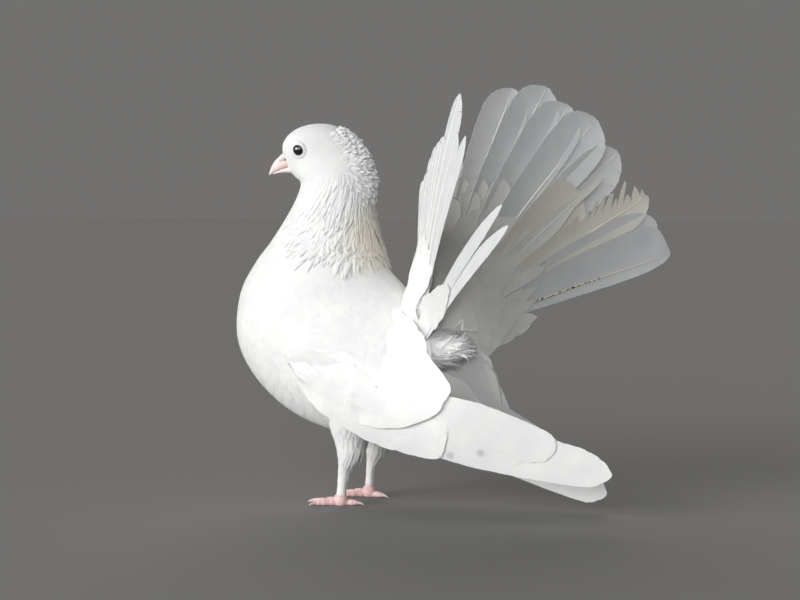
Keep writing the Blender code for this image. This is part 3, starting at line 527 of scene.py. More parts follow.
def blended(tree, share, first, second):
    # two colours mixed, each a hex or a socket
    first, second = [linear(c) if isinstance(c, str) else c for c in (first, second)]
    return addNode(tree, "ShaderNodeMix", {"data_type": "RGBA"}, {0: share, 6: first, 7: second}).outputs[2]


def blot(tree, place, colour, centre, radii, strength, paint):
    # a soft round patch of another colour, full within the first radius and gone at the second
    there = Vector([float(v) for v in (np.array(centre) + home) * mm])
    far = addNode(tree, "ShaderNodeVectorMath", {"operation": "DISTANCE"}, {0: place, 1: there})
    near = addNode(tree, "ShaderNodeMapRange", {"interpolation_type": "SMOOTHSTEP"},
                   {0: far.outputs["Value"], 1: radii[0] * mm, 2: radii[1] * mm, 3: strength, 4: 0.0})
    return blended(tree, near.outputs[0], colour, paint)


# the tail's two whites carry a painted cool blue-grey cast for the shade the fan lies in
plumageLook = {"white": "#F3F3F1", "grey": "#E4E6E7", "tailWhiteCoolShade": "#EEF0F1", "tailGreyCoolShade": "#E1E4E6",
               "rachis": "#E8E0C8", "speck": "#3E342A", "down": "#EFEEEA", "warm": "#EFEADA"}
# painted beige shade low on the back of the neck, where the neck feathers meet the back
neckBeigeShade = ((8.0, -4.0, 160.0), (8.0, 30.0), 0.4, "#E6D6B4")


def plumage(name, white, grey, barbStep, translucent=0.0, slanted=True, blots=()):
    # feather keratin, matt and silky: barbs give fine slanting lines, thin vanes let light through
    made, tree, shader = newMaterial(name, {"Roughness": 0.72, "Sheen Weight": 0.12, "Sheen Roughness": 0.5,
                                            "Specular IOR Level": 0.35})
    place = addNode(tree, "ShaderNodeTexCoord").outputs["Object"]
    clouds = addNode(tree, "ShaderNodeTexNoise", None, {"Vector": place, "Scale": 70.0, "Detail": 3.0})
    share = calculated(tree, "MULTIPLY_ADD", attribute(tree, "tint"), 0.35, clouds.outputs["Fac"])
    colour = blended(tree, ranged(tree, share, 0.25, 0.95), white, grey)
    for spot in blots:
        colour = blot(tree, place, colour, *spot)
    colour = blended(tree, attribute(tree, "warm"), colour, plumageLook["warm"])
    vane = addNode(tree, "ShaderNodeUVMap", {"uv_map": "vane"}).outputs[0]
    parts = addNode(tree, "ShaderNodeSeparateXYZ", None, {0: vane})
    lines = parts.outputs["Y"]
    if slanted:
        aside = calculated(tree, "ABSOLUTE", parts.outputs["X"])
        lines = calculated(tree, "MULTIPLY_ADD", aside, -0.4, lines)
    wave = calculated(tree, "SINE", calculated(tree, "MULTIPLY", lines, 2 * math.pi / barbStep))
    bump = addNode(tree, "ShaderNodeBump", None, {"Strength": 0.35, "Distance": 0.00012, "Height": wave})
    tree.links.new(colour, shader.inputs["Base Color"])
    tree.links.new(bump.outputs[0], shader.inputs["Normal"])
    if translucent:
        through = addNode(tree, "ShaderNodeBsdfTranslucent", None, {"Color": colour})
        both = addNode(tree, "ShaderNodeMixShader", None,
                       {0: translucent, 1: shader.outputs[0], 2: through.outputs[0]})
        tree.links.new(both.outputs[0], tree.nodes["Material Output"].inputs["Surface"])
    return made


def bareSkin(name, colour, second, scale, rough, depth, softness=0.15):
    # living skin or soft horn: two close tones in patches, fine grain and a soft glow at thin edges
    made, tree, shader = newMaterial(name, {"Roughness": rough, "Subsurface Weight": softness,
                                            "Subsurface Scale": 0.002})
    place = addNode(tree, "ShaderNodeTexCoord").outputs["Object"]
    patches = addNode(tree, "ShaderNodeTexNoise", None, {"Vector": place, "Scale": scale / 3, "Detail": 4.0})
    mixed = blended(tree, ranged(tree, patches.outputs["Fac"], 0.35, 0.65), colour, second)
    grain = addNode(tree, "ShaderNodeTexVoronoi", None, {"Vector": place, "Scale": scale})
    bump = addNode(tree, "ShaderNodeBump", None,
                   {"Strength": 0.5, "Distance": depth * mm, "Height": grain.outputs["Distance"]})
    tree.links.new(mixed, shader.inputs["Base Color"])
    tree.links.new(bump.outputs[0], shader.inputs["Normal"])
    return made


white, grey = plumageLook["white"], plumageLook["grey"]
# the body's white carries the painted beige shade at the foot of the neck
bodyPaint = plumage("white contour feathers", white, grey, 0.05, blots=[neckBeigeShade])
# two small soft grey spots on the near wing's flight feathers
wingGreySpots = [(wingPoint(-1, x, z, 2.0), (1.0, 3.4), 0.45, "#A6A5A0")
               for x, z in ((74.5, 37.2), (92.5, 39.5))]
wingPaint = plumage("white flight feathers", white, grey, 0.8, 0.12, False, wingGreySpots)
# the tail feathers' own white, given a painted cool blue-grey cast for the shade the fan lies in
tailPaint = plumage("white tail feathers", plumageLook["tailWhiteCoolShade"], plumageLook["tailGreyCoolShade"], 0.8, 0.2, False)
tuftPaint = plumage("white down plumes", white, grey, 0.06, 0.15)


def featherShaft():
    # the quill: white near the vane, ivory on the oldest feathers, dark specks of dirt along two of them
    made = bareSkin("feather shaft", "#F0EFEA", "#E9E7DE", 900.0, 0.45, 0.02, 0.05)
    tree = made.node_tree
    base = tree.nodes["Principled BSDF"].inputs["Base Color"]
    colour = blended(tree, attribute(tree, "ivory"), base.links[0].from_socket, plumageLook["rachis"])
    place = addNode(tree, "ShaderNodeTexCoord").outputs["Object"]
    spots = addNode(tree, "ShaderNodeTexNoise", None, {"Vector": place, "Scale": 420.0, "Detail": 1.0})
    spots = ranged(tree, spots.outputs["Fac"], 0.49, 0.55)
    dark = calculated(tree, "MULTIPLY", spots, attribute(tree, "speck"))
    tree.links.new(blended(tree, dark, colour, plumageLook["speck"]), base)
    return made


rachisPaint = featherShaft()
downPaint = bareSkin("downy skin", plumageLook["down"], "#F0EFEB", 500.0, 0.85, 0.15, 0.1)
lidPaint = bareSkin("orbital skin", "#E6E7EB", "#EDEEF0", 2200.0, 0.6, 0.05)
cerePaint = bareSkin("powdered cere", "#F1E8E5", "#EAD9D5", 1800.0, 0.8, 0.05)
billPaint = bareSkin("pink bill horn", "#F6E4E0", "#F2D8D4", 600.0, 0.45, 0.02, 0.2)
footPaint = bareSkin("scaled foot skin", "#E9C8C6", "#DDB3B2", 1300.0, 0.6, 0.12, 0.15)
clawPaint = bareSkin("pale claw horn", "#DCC8BC", "#B9A096", 500.0, 0.4, 0.02, 0.1)
nostrilPaint = bareSkin("shadowed nostril", "#6E5755", "#57413F", 900.0, 0.8, 0.02, 0.0)


# dark iris and pupil under a wet, clear surface: near black, with sharp small reflections
eyePaint = newMaterial("wet dark eye", {"Base Color": linear("#120D0F"), "Roughness": 0.04,
                                        "Coat Weight": 1.0, "Coat Roughness": 0.02,
                                        "Specular IOR Level": 0.5})[0]


# Legs: thigh and shank as one sleeve, place counted down the leg

legRows = [  # height, distance behind the foot, radius
    (60.0, 8.0, 15.0), (48.0, 7.4, 13.0), (41.0, 7.0, 10.2), (34.0, 6.2, 7.8), (27.0, 4.4, 5.4),
    (21.0, 1.9, 3.4), (12.0, 0.9, 3.1), (5.0, 0.1, 3.3)]
footPlace = {}
for side, node in ((-1, "shank_left"), (1, "shank_right")):
    middle = sum(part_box(node), Vector()) / 2 / mm - Vector(home)
    footPlace[side] = (middle.x - 0.5, middle.y)


def legSurface(side):
    def surface(place, angle):
        # rings round the leg's line, angle 0 at the rear
        z, back, radius = np.moveaxis(splineRows(legRows, np.clip(place, 0, len(legRows) - 1)), -1, 0)
        x, y = footPlace[side]
        parts = x + back + radius * np.cos(angle), y + radius * np.sin(angle), z
        return np.stack(np.broadcast_arrays(*parts), -1)
    return surface


# Skin: the whole of the flesh as one closed form, just under the coat

skinLook = {"rings": 150, "sides": 96, "depth": ([0, 10, 13, 16, 18, 23], [1.2, 1.2, 1.8, 1.4, 0.7, 0.4]),
            "legScale": 1 - 0.8 / 6, "voxel": 1.1}


def makeSkin():
    # rings of the body moved inwards by the coat's depth, with both legs, melted together
    place, angle = np.broadcast_arrays(np.linspace(0.02, lastPlace - 0.02, skinLook["rings"])[:, None],
                                       fullTurn(skinLook["sides"]))
    depth = np.interp(place, *skinLook["depth"])[..., None]
    tubes = [bodySurface(place, angle) - normalAt(bodySurface, place, angle) * depth]
    for side in (-1, 1):
        rings = legSurface(side)(np.linspace(0, len(legRows) - 1, 40)[:, None], fullTurn(24))
        centre = rings.mean(axis=1, keepdims=True)
        tubes.append(centre + (rings - centre) * skinLook["legScale"])
    skin = meltedPiece("skin", tubes, downPaint, "plumage", skinLook["voxel"], (0.5, 3), "torso", "neck",
                       "head", "thigh_left", "thigh_right", "shank_left", "shank_right")
    print("skin faces", len(skin.data.polygons))


# Coat: feathers of the body in rings from rump to bill

coat = {"rise": 0.018, "place": [0, 3, 6, 9, 11, 13, 15, 17, 20, 23],
        "length": [20, 17, 15, 13, 11, 9, 7.5, 4.6, 3.6, 2.4],
        "width": [8.5, 8, 7, 6, 5, 3.6, 3.0, 2.0, 1.6, 1.0],
        "tierGap": 0.315, "sideGap": 0.66, "sink": 0.55,
        "steps": np.array([0.0, 0.3, 0.6, 0.85, 1.0]), "profile": np.array([0.5, 0.92, 1.0, 0.78, 0.2])}
eyeLook = {"place": (-38.0, 216.6), "ball": 4.6, "proud": 0.8, "clear": 4.2, "tilt": 35.0,
           "oval": (0.94, 1.08),
           "radius": [5.4, 5.05, 4.7, 4.4, 4.1, 3.8, 3.5, 3.25, 3.1],
           "height": [-0.9, -0.4, -0.12, 0.04, 0.16, 0.3, 0.4, 0.3, -0.5]}
underWingBox = {"x": (-14, 62), "y": 18, "top": 17, "low": 13}  # the last two are margins at the wing's edge
headTurn = 23.0


def headPoint(x, y, z):
    return turned(np.stack(np.broadcast_arrays(np.asarray(x, float), y, z), -1), headTurn)


def onHead(x, z, side):
    # the point of the head's side at x, z as seen straight from that side, and the way out there
    a = np.linspace(headPlace, lastPlace - 0.2, 300)[:, None]
    b = side * np.linspace(0.15, 2.99, 300)[None, :]
    points = turned(bodySurface(a, b), -headTurn)
    off = (points[..., 0] - x) ** 2 + (points[..., 2] - z) ** 2
    i, j = np.unravel_index(np.argmin(off), off.shape)
    at = a[i], b[:, j]
    return bodySurface(*at)[0], normalAt(bodySurface, *at)[0]


def ringSites(surface, first, last, look, draw):
    # tiers a share of the feather's length apart, each with its girth divided by a share of the width
    fine = np.linspace(first, last, 700)
    rings = surface(fine[:, None], fullTurn(48))
    travel = np.linalg.norm(np.diff(rings, axis=0), axis=-1).mean(axis=1)
    girth = np.linalg.norm(rings - np.roll(rings, 1, axis=1), axis=-1).sum(axis=1)
    length = np.interp(fine, look["place"], look["length"])
    width = np.interp(fine, look["place"], look["width"])
    count = np.concatenate([[0], np.cumsum(travel / (length[1:] * look["tierGap"]))])
    a, b = [], []
    for tier in range(int(count[-1]) + 1):
        row = int(np.searchsorted(count, tier))
        number = max(3, int(girth[row] / (width[row] * look["sideGap"])))
        turn = (np.arange(number) + 0.5 * (tier % 2) + draw.uniform(-0.2, 0.2, number)) / number
        b.append(2 * np.pi * turn)
        a.append(fine[row] + draw.uniform(-0.5, 0.5, number) * (last - first) / count[-1] * 0.3)
    return np.concatenate(a), np.concatenate(b)


def underWing(points):
    # true where the folded wing hides the body
    x, y, z = points[:, 0], np.abs(points[:, 1]), points[:, 2]
    high = np.interp(x, *np.array(upperCoverts["top"][-1]).T) - underWingBox["top"]
    low = np.interp(x, *np.array(lowerCoverts["low"][-1]).T) + underWingBox["low"]
    first, last = underWingBox["x"]
    return (x > first) & (x < last) & (z < high) & (z > low) & (y > underWingBox["y"])


def makeCoat():
    draw = np.random.RandomState(21)
    a, b = ringSites(bodySurface, 0.25, lastPlace - 0.35, coat, draw)
    keep = ~underWing(bodySurface(a, b))
    a, b = a[keep], b[keep]
    size = draw.uniform(0.88, 1.12, len(a))
    length = np.interp(a, coat["place"], coat["length"]) * size
    line = layOn(bodySurface, a, b, length, [0.0, 0.5, 1.0], 0.0, 0.0, 0.0)[0]
    eyes = np.array([onHead(*eyeLook["place"], side)[0] for side in (-1, 1)])
    keep = np.linalg.norm(line[:, :, None] - eyes, axis=-1).min(axis=(1, 2)) > eyeLook["clear"]
    a, b, size, length = a[keep], b[keep], size[keep], length[keep]
    width = np.interp(a, coat["place"], coat["width"]) * size
    rise = coat["rise"] + draw.uniform(-0.004, 0.004, len(a))
    shafts = layOn(bodySurface, a, b, length, coat["steps"], rise, 0.0, coat["sink"],
                   draw.uniform(-0.03, 0.03, len(a)))
    thick = np.clip(width * 0.015, 0.05, 0.09)
    part = coatPart(shafts, width / 2, coat["profile"], thick, 0.05, roundMap(a, b),
                    draw.uniform(-0.4, 0.4, len(a)))
    coatObject("body_coat", [part], bodyPaint, "plumage")


# Feathers of the neck and the crest

lock = {"steps": np.array([0.0, 0.22, 0.45, 0.68, 0.87, 1.0]),
        "profile": np.array([0.55, 0.95, 1.0, 0.72, 0.38, 0.06])}
neckLook = {"first": 10.2, "last": 15.6, "tierGap": 0.24, "sideGap": 0.6, "place": (11.0, 15.6),
            "length": (14.0, 9.5), "width": (3.3, 2.4)}
crestLook = {"place": (13.4, 18.6), "count": 680, "spread": 1.5, "width": 3.1,
             "height": [184, 190, 195, 200, 206, 214, 222, 228, 234],
             "slant": [-70, -58, -45, -25, 0, 22, 28, 16, 4],
             "length": [6.5, 5.6, 6.8, 7.2, 6.2, 5.0, 4.2, 3.2, 2.6], "wisps": 7}


def freeShafts(root, way, length, normal, sink, bend, drift, facing=None):
    # shafts that leave their roots in a given way, bend towards the normal's side and drift off at the tip
    s = lock["steps"][None, :, None]
    size = length[:, None, None]
    centres = (root - normal * sink)[:, None] + way[:, None] * (size * s)
    centres = centres + (normal * bend[:, None] + drift)[:, None] * (size * s ** 2)
    ahead = unit(np.gradient(centres, axis=1))
    across = unit(np.cross(ahead, (normal if facing is None else facing)[:, None]))
    return centres, across, np.cross(across, ahead)


def roundMap(a, b, last=lastPlace):
    # the unwrap of a closed form: a along it, b round it
    return np.stack([a / last, (b / (2 * np.pi)) % 1.0], -1) * 0.98 + 0.01


def flatMap(a, b):
    # the unwrap of a sheet
    return np.stack([a, b], -1) * 0.9 + 0.05


def makeNeck():
    # narrow pointed locks in staggered tiers, rough towards the nape and none at the throat
    draw = np.random.RandomState(5)
    a, b = ringSites(bodySurface, neckLook["first"], neckLook["last"], neckLook, draw)
    rough = 0.5 - 0.5 * np.cos(b)
    keep = rough > np.interp(a, [11, 13, 15.6], [0.26, 0.13, 0.16]) + 0.08 * draw.rand(len(a))
    keep &= a > np.interp(rough, [0.2, 0.6, 1.0], [11.8, 10.8, 10.3])
    a, b, rough = a[keep], b[keep], rough[keep]
    size = draw.uniform(0.75, 1.2, len(a))
    length = np.interp(a, neckLook["place"], neckLook["length"]) * size
    width = np.interp(a, neckLook["place"], neckLook["width"]) * draw.uniform(0.8, 1.15, len(a))
    rise = 0.022 + 0.06 * rough + draw.uniform(-0.01, 0.04, len(a)) * (0.3 + rough)
    curl = draw.uniform(-0.06, 0.10, len(a)) * rough
    drift = draw.uniform(-0.13, 0.13, len(a))
    shafts = layOn(bodySurface, a, b, length, lock["steps"], rise, curl, 0.6, drift)
    part = coatPart(shafts, width / 2, lock["profile"], width * 0.06, 0.22, roundMap(a, b),
                    draw.uniform(-0.6, 0.6, len(a)), 6)
    coatObject("neck_locks", [part], bodyPaint, "plumage")


def makeCrest():
    # the mane: feathers of the hind neck and head lie back past the nape, a ridge with its peak turned up
    draw = np.random.RandomState(12)
    n = crestLook["count"]
    a = draw.uniform(*crestLook["place"], n)
    swing = crestLook["spread"] * draw.uniform(-1, 1, n)
    swing = swing * np.interp(a, [13, 15, 18, 19.4], [1.0, 1.0, 0.8, 0.5])
    b = np.pi + swing
    root, normal = bodySurface(a, b), normalAt(bodySurface, a, b)
    hand = -np.sin(swing)
    slant = np.interp(root[:, 2], crestLook["height"], crestLook["slant"])
    slant = np.radians(slant + draw.uniform(-13, 13, n))
    length = np.interp(root[:, 2], crestLook["height"], crestLook["length"]) * draw.uniform(0.75, 1.12, n)
    wisps = slice(0, crestLook["wisps"])
    slant[wisps] += np.radians(draw.uniform(15, 40, crestLook["wisps"]))
    turn = np.interp(a, np.arange(len(bodyStations)), np.array(bodyStations)[:, 5])
    axis = np.array([neckAxis, 0, 0])
    back = np.stack([np.cos(slant), -0.16 * hand + draw.uniform(-0.10, 0.10, n), np.sin(slant)], -1)
    sideways = np.stack([0 * hand, np.where(hand >= 0, 1.0, -1.0), 0 * hand], -1)
    back, sideways = [turned(way + axis, turn) - axis for way in (back, sideways)]
    facing = unit(normal * np.abs(hand)[:, None] + sideways * 0.7)
    outer = 1 - 0.85 * eased((np.abs(swing) - 0.45) / 0.6)
    way = unit(unit(back) + normal * ((0.10 + 0.12 * draw.rand(n)) * outer)[:, None])
    shafts = freeShafts(root, way, length, normal, 0.8, draw.uniform(-0.22, 0.02, n),
                        unit(np.cross(way, facing)) * draw.uniform(-0.10, 0.18, n)[:, None], facing)
    width = crestLook["width"] * draw.uniform(0.75, 1.25, n)
    width[wisps] *= 0.45
    part = coatPart(shafts, width / 2, lock["profile"], width * 0.07, 0.2, roundMap(a, b),
                    draw.uniform(-0.5, 0.5, n), 6)
    coatObject("crest", [part], bodyPaint, "plumage")


# Wings

wingLook = {"thick": (11.0, 1.6), "featherTurn": 0.35, "rootsAt": ((36.0, 75.5), (28.0, 50.0)),
            "tips": [(135.5, 42.5), (133.5, 40.5), (128.0, 40.0), (118.0, 38.5), (150.0, 36.5), (157.0, 35.5),
                     (162.0, 33.5), (165.5, 31.0), (167.0, 28.5), (163.0, 26.5)],
            "short": {-1: 1.0, 1: 0.955}, "tertials": 3, "halfWidth": (8.2, 7.0), "bend": (-3.0, 2.0),
            "depth": (1.7, 0.07), "start": 24.0,
            "lining": {"from": 0.3, "places": [0.12, 0.30, 0.48, 0.66, 0.82], "length": 82.0, "half": 10.5}}
vaneLong = {"steps": np.array([0.0, 0.2, 0.4, 0.6, 0.75, 0.86, 0.94, 1.0]),
            "profile": np.array([0.6, 0.9, 1.0, 1.0, 0.93, 0.78, 0.52, 0.16])}
wingTiers = {"place": [0.0, 0.25, 0.55, 0.8, 1.0], "length": [11, 14, 18, 24, 26],
             "width": [5.6, 6.4, 7.6, 8.6, 9.0],
             "tierGap": 0.26, "sideGap": 0.5, "rise": 0.013, "first": 0.09, "endGap": 2.6, "endTiers": 3}


def rowSites(sheet, places, gaps, ends, draw, jitter=0.15):
    # staggered rows across a sheet: a row's length over its gap gives the number of feathers
    a, b = [], []
    fine = np.linspace(*ends, 120)
    for tier, (place, gap) in enumerate(zip(places, gaps)):
        line = sheet(np.full(120, place), fine)
        travel = np.concatenate([[0], np.cumsum(np.linalg.norm(np.diff(line, axis=0), axis=1))])
        count = max(3, int(travel[-1] / gap))
        at = (np.arange(count) + 0.25 + 0.5 * (tier % 2) + draw.uniform(-jitter, jitter, count)) / count
        a.append(np.full(count, float(place)))
        b.append(np.interp(at * travel[-1], travel, fine))
    return np.concatenate(a), np.concatenate(b)


def sheetSpeed(sheet, b):
    # the length of a sheet for each whole unit of a, close to its rear edge
    return np.linalg.norm(sheet(np.full(len(b), 1.0), b) - sheet(np.full(len(b), 0.9), b), axis=-1) / 0.1


def coverCoat(sheet, side, tiers, reach, draw):
    # small vanes in tiers down a sheet; the last tiers end on its rear edge, close together
    places, gaps, place = [], [], tiers["first"]
    while True:
        length = np.interp(place, tiers["place"], tiers["length"])
        if place > 1 - length / reach:
            break
        places.append(place)
        gaps.append(np.interp(place, tiers["place"], tiers["width"]) * tiers["sideGap"])
        place += length * tiers["tierGap"] / reach
    a, b = rowSites(sheet, places, gaps, (0.0, 1.0), draw)
    length = np.interp(a, tiers["place"], tiers["length"]) * draw.uniform(0.9, 1.1, len(a))
    a = np.minimum(a, 1 - (length + 4.5) / sheetSpeed(sheet, b))
    last = tiers["length"][-1]
    for tier in range(tiers["endTiers"]):
        endB = rowSites(sheet, [1 - last / reach], [tiers["endGap"]], (0.01, 0.99), draw, 0.3)[1]
        endA = 1 - (last + 1.6 * tier) / sheetSpeed(sheet, endB)
        a, b = np.concatenate([a, endA]), np.concatenate([b, endB])
        length = np.concatenate([length, last * draw.uniform(0.99, 1.01, len(endA))])
    width = np.interp(a, tiers["place"], tiers["width"])
    shafts = layOn(sheet, a, b, length, vaneLong["steps"], tiers["rise"], 0.0, 0.25,
                   draw.uniform(-0.004, 0.004, len(a)), 1, side)
    return coatPart(shafts, width / 2, vaneLong["profile"], np.full(len(a), 0.07), 0.04, flatMap(a, b),
                    draw.uniform(-0.3, 0.3, len(a)))


def alongWing(side, root, tip, depths, bend):
    # the frame of a feather drawn on the wing's sheet, turned so that its lower edge lies over the next
    root, tip = np.asarray(root, float), np.asarray(tip, float)
    length = np.linalg.norm(tip - root)
    ahead2 = (tip - root) / length
    across2 = np.array([ahead2[1], -ahead2[0]])
    turn = math.radians(wingLook["featherTurn"])

    def frameAt(reach):
        share = reach / length
        flat = root + (tip - root) * share[:, None] + across2 * (bend * 4 * share * (1 - share))[:, None]
        depth = np.interp(share, *depths)
        here, ahead, low = [wingPoint(side, *(flat + move).T, depth, False) for move in (0, ahead2, across2)]
        ahead, low = unit(ahead - here), low - here
        out = unit(np.cross(ahead, low))
        out = out * np.sign(out[:, 1:2] * side)
        low = unit(low - ahead * dot(low, ahead))
        return here, low * math.cos(turn) + out * math.sin(turn), out * math.cos(turn) - low * math.sin(turn)
    return frameAt, length


def wingBlades(side):
    # root, tip, depth, half width and bend of every flight feather, tertials outermost
    tips = np.array(wingLook["tips"])
    share = np.linspace(0, 1, len(tips))[:, None]
    roots = np.array(wingLook["rootsAt"][0]) * (1 - share) + np.array(wingLook["rootsAt"][1]) * share
    tips = roots + (tips - roots) * wingLook["short"][side]
    blades = []
    for k, (root, tip) in enumerate(zip(roots, tips)):
        half, bend = [np.interp(share[k, 0], [0, 1], wingLook[key]) for key in ("halfWidth", "bend")]
        depth = wingLook["depth"][0] + wingLook["depth"][1] * k * np.array([0.6, 1.0, 1.0])
        if k >= wingLook["tertials"]:
            depth = depth + 0.5
        blades.append((root, tip, (np.array([0.0, 0.4, 1.0]), depth), half, bend))
    return blades


def baseThickness(u):
    return wingLook["thick"][0] * (1 - np.clip(u, 0, 1)) ** 0.8 + wingLook["thick"][1]


def makeWing(side, name):
    # a thin folded base, tiers of coverts over it, and the flight feathers stacked under their edge
    draw = np.random.RandomState(31 + side)
    coverts, lining = [], []
    inwards = np.array([0.0, -side, 0.0])
    for group, look in (("upper", upperCoverts), ("lower", lowerCoverts)):
        sheet = wingSheet(side, look)
        u, v = np.meshgrid(np.linspace(0.07, 0.95, 56), np.linspace(0.01, 0.99, 44), indexing="ij")
        outer = sheet(u, v) + inwards * 0.7
        slabPiece("wing_base_%s_%s" % (group, name), outer, outer + inwards * baseThickness(u)[..., None])
        coverts.append(coverCoat(sheet, side, wingTiers, 112.0, draw))

        def liningSheet(u, v, sheet=sheet):
            # broad soft feathers line the inner side and show past the rear edge
            u, v = np.broadcast_arrays(u, v)
            return sheet(u, v) + inwards * (1.2 + baseThickness(u))[..., None]
        broad = wingLook["lining"]
        b = np.array(broad["places"])
        one = np.ones(len(b))
        a = broad["from"] * one
        shafts = layOn(liningSheet, a, b, broad["length"] * one, vaneLong["steps"], 0.0, 0.0, 0.0,
                       way=1, outward=-side)
        lining.append(coatPart(shafts, broad["half"] * one, vaneLong["profile"], 0.15 * one, 0.03,
                               flatMap(a, b), draw.uniform(-0.3, 0.3, len(b)), 8))
    coatObject("wing_coverts_" + name, coverts, bodyPaint, "plumage")
    coatObject("wing_lining_" + name, lining, wingPaint, "plumage")

    quills, shafts = [], []
    blades = wingBlades(side)
    for k, (root, tip, depths, half, bend) in enumerate(blades):
        frameAt, length = alongWing(side, root, tip, depths, bend)
        quills += bigFeather(frameAt, wingLook["start"], length, (half, half), tipShapes["blunt"], draw, k,
                             len(blades), 12, tint=draw.uniform(-0.2, 0.2), bow=0.2, ragged=0.08)
        shafts.append(shaftPart(frameAt, wingLook["start"], length - 1.5, (0.25, 0.12), k, len(blades)))
    flight = coatObject("wing_quills_" + name, quills, wingPaint, "plumage")
    coatObject("wing_shafts_" + name, shafts, rachisPaint, "plumage")
    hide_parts("wing_" + name)


# Tail

tail = {"root": (43.8, 4.0, 98.5), "sweep": math.radians(40.0), "bow": 6.5, "stack": 1.0, "reach": 180.0,
        "start": 12.5,
        "far": [  # angle from the top, length, half widths inside and outside, forward, tip, warm share
            (21.0, 168, (17, 17), 0.0, "round", 0.1), (28.0, 179, (19, 19), 0.0, "round", 0.0),
            (34.5, 178, (19.5, 19.5), 0.0, "round", 0.0), (41.2, 184, (20.5, 20.5), 0.0, "round", 0.0),
            (49.8, 182, (17, 17), 1.6, "round", 0.1), (50.5, 144, (19.5, 17), -0.8, "round", 0.7),
            (51.4, 163, (7, 7), -1.8, "worn", 0.4), (61.0, 184, (14.5, 14.5), -0.6, "round", 0.6),
            (66.3, 183, (15, 15), 0.4, "round", 0.05), (73.4, 186, (24, 7), 0.0, "round", 0.0)],
        "near": [
            (14.0, 98, (7, 7), 0.6, "round", 0.0), (16.0, 109, (8.5, 8.5), 0.4, "round", 0.0),
            (17.2, 118, (10, 10), 0.2, "round", 0.0), (19.5, 126, (11, 11), 0.0, "round", 0.0),
            (21.8, 131, (11.5, 11.5), 0.0, "round", 0.0), (24.0, 136, (12, 12), 0.0, "round", 0.0),
            (26.8, 166, (12, 12), 0.0, "round", 0.0), (31.0, 148, (10, 10), 0.3, "round", 0.0),
            (36.0, 153, (7, 7), 0.3, "round", 0.0), (59.3, 168, (6, 6), 0.6, "leaf", 0.0),
            (63.5, 170, (6, 6), 0.3, "leaf", 0.0)],
        "torn": 7, "specked": (7, 9)}
fanSides = {1: "far", -1: "near"}


def fanDirection(angle, side):
    # the way up the fan at an angle from its top; each half is swept back from the cross plane
    a, s = np.radians(angle), tail["sweep"]
    return np.stack([math.sin(s) * np.sin(a), side * math.cos(s) * np.sin(a), np.cos(a)], -1)


def fanBow(reach):
    # how far the fan bows forwards
    share = np.minimum(reach / tail["reach"], 1.0)
    return tail["bow"] * 4 * share * (1 - share)


def fanFrame(angle, side, gap=6.5, forward=0.0, arc=0.0, stack=tail["stack"]):
    # the frame of one tail feather: bowed forwards along its length and turned to lie over its neighbour
    along = fanDirection(angle, side)
    across = fanDirection(angle + 0.5, side) - along
    across = unit(across - along * dot(across, along))
    front = np.cross(along, across)
    front = front if front[0] < 0 else -front
    root = np.array(tail["root"]) * [1, side, 1]

    def frameAt(reach):
        lift = forward + fanBow(reach)
        drift = arc * np.minimum(reach / tail["reach"], 1.0) ** 2
        centre = root + along * reach[:, None] + front * lift[:, None] + across * drift[:, None]
        turn = np.arcsin(np.minimum(0.35, stack / (np.maximum(reach, 5.0) * math.radians(gap))))[:, None]
        c, s = np.cos(turn), np.sin(turn)
        return centre, across * c + front * s, front * c - across * s
    return frameAt


def makeTail(side, name):
    draw = np.random.RandomState(60 + side)
    feathers = tail[fanSides[side]]
    parts, shafts = [], []
    for k, (angle, length, halves, forward, tip, warm) in enumerate(feathers):
        frameAt = fanFrame(angle, side, forward=forward, arc=draw.uniform(-1.5, 1.5))
        slabs, tear = (26, tornVane) if side > 0 and k == tail["torn"] else (14, None)
        parts += bigFeather(frameAt, tail["start"], length, halves, tipShapes[tip], draw, k, len(feathers),
                            slabs, tear, draw.uniform(-0.5, 0.5), ragged=0.25, warm=warm)
        thick = quillLook["shaft"] if halves[0] > 8 else (0.7, 0.2)
        speck = 1.0 if side > 0 and k in tail["specked"] else 0.0
        shafts.append(shaftPart(frameAt, tail["start"], length - 2, thick, k, len(feathers), speck,
                                max(speck, warm)))
    vanes = coatObject("tail_vanes_" + name, parts, tailPaint, "tail_plumage")
    coatObject("tail_shafts_" + name, shafts, rachisPaint, "tail_plumage")
    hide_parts("tail_" + name)


def tornVane(hand, share, draw):
    # width and parting of each slab on the torn feather: its inner vane is frayed into barbs near the tip
    middle = share[:, share.shape[1] // 2]
    n = len(middle)
    frayed = np.clip((middle - 0.55) / 0.15, 0, 1) * (hand < 0)
    wide = 1 + frayed * draw.uniform(-0.45, 0.55, n)
    return wide[:, None], np.maximum(draw.uniform(0.0, 0.05, n), frayed * draw.uniform(0.55, 0.95, n))


# Coverts of the tail, before and behind the fan, and the down at its root

tailRoot = {"x": 37.5, "height": (88.0, 146.0), "radii": (10.0, 16.0), "lean": 6.0}
frontLook = {  # reach up the fan; how far forward the coverts stand at the middle; their ends at each angle
    "start": 30.0, "forward": ([-0.45, -0.15, 0.0, 0.3, 0.62, 1.0], [4.0, 9.0, 11.0, 8.6, 3.4, 0.8]),
    "spread": {-1: 37.0, 1: 76.0}, "round": 34.0,
    "ends": {-1: ([0, 12, 25, 37], [74, 80, 76, 62]),
             1: ([0, 12, 34, 46, 58, 68, 76], [74, 80, 72, 52, 62, 52, 38])}}
rearLook = {"tiers": [(114.0, -1.6), (100.0, -2.2), (86.0, -2.8), (72.0, -3.6), (58.0, -4.6), (44.0, -6.0)],
            "count": 14, "first": 10.0, "step": 6.4, "half": 8.8, "warm": 0.4, "nearTo": 22.0,
            "leafFrom": 52.0,
            "cap": ([66, 76, 79, 82, 85, 90, 98], [114, 114, 108, 80, 65, 55, 44])}
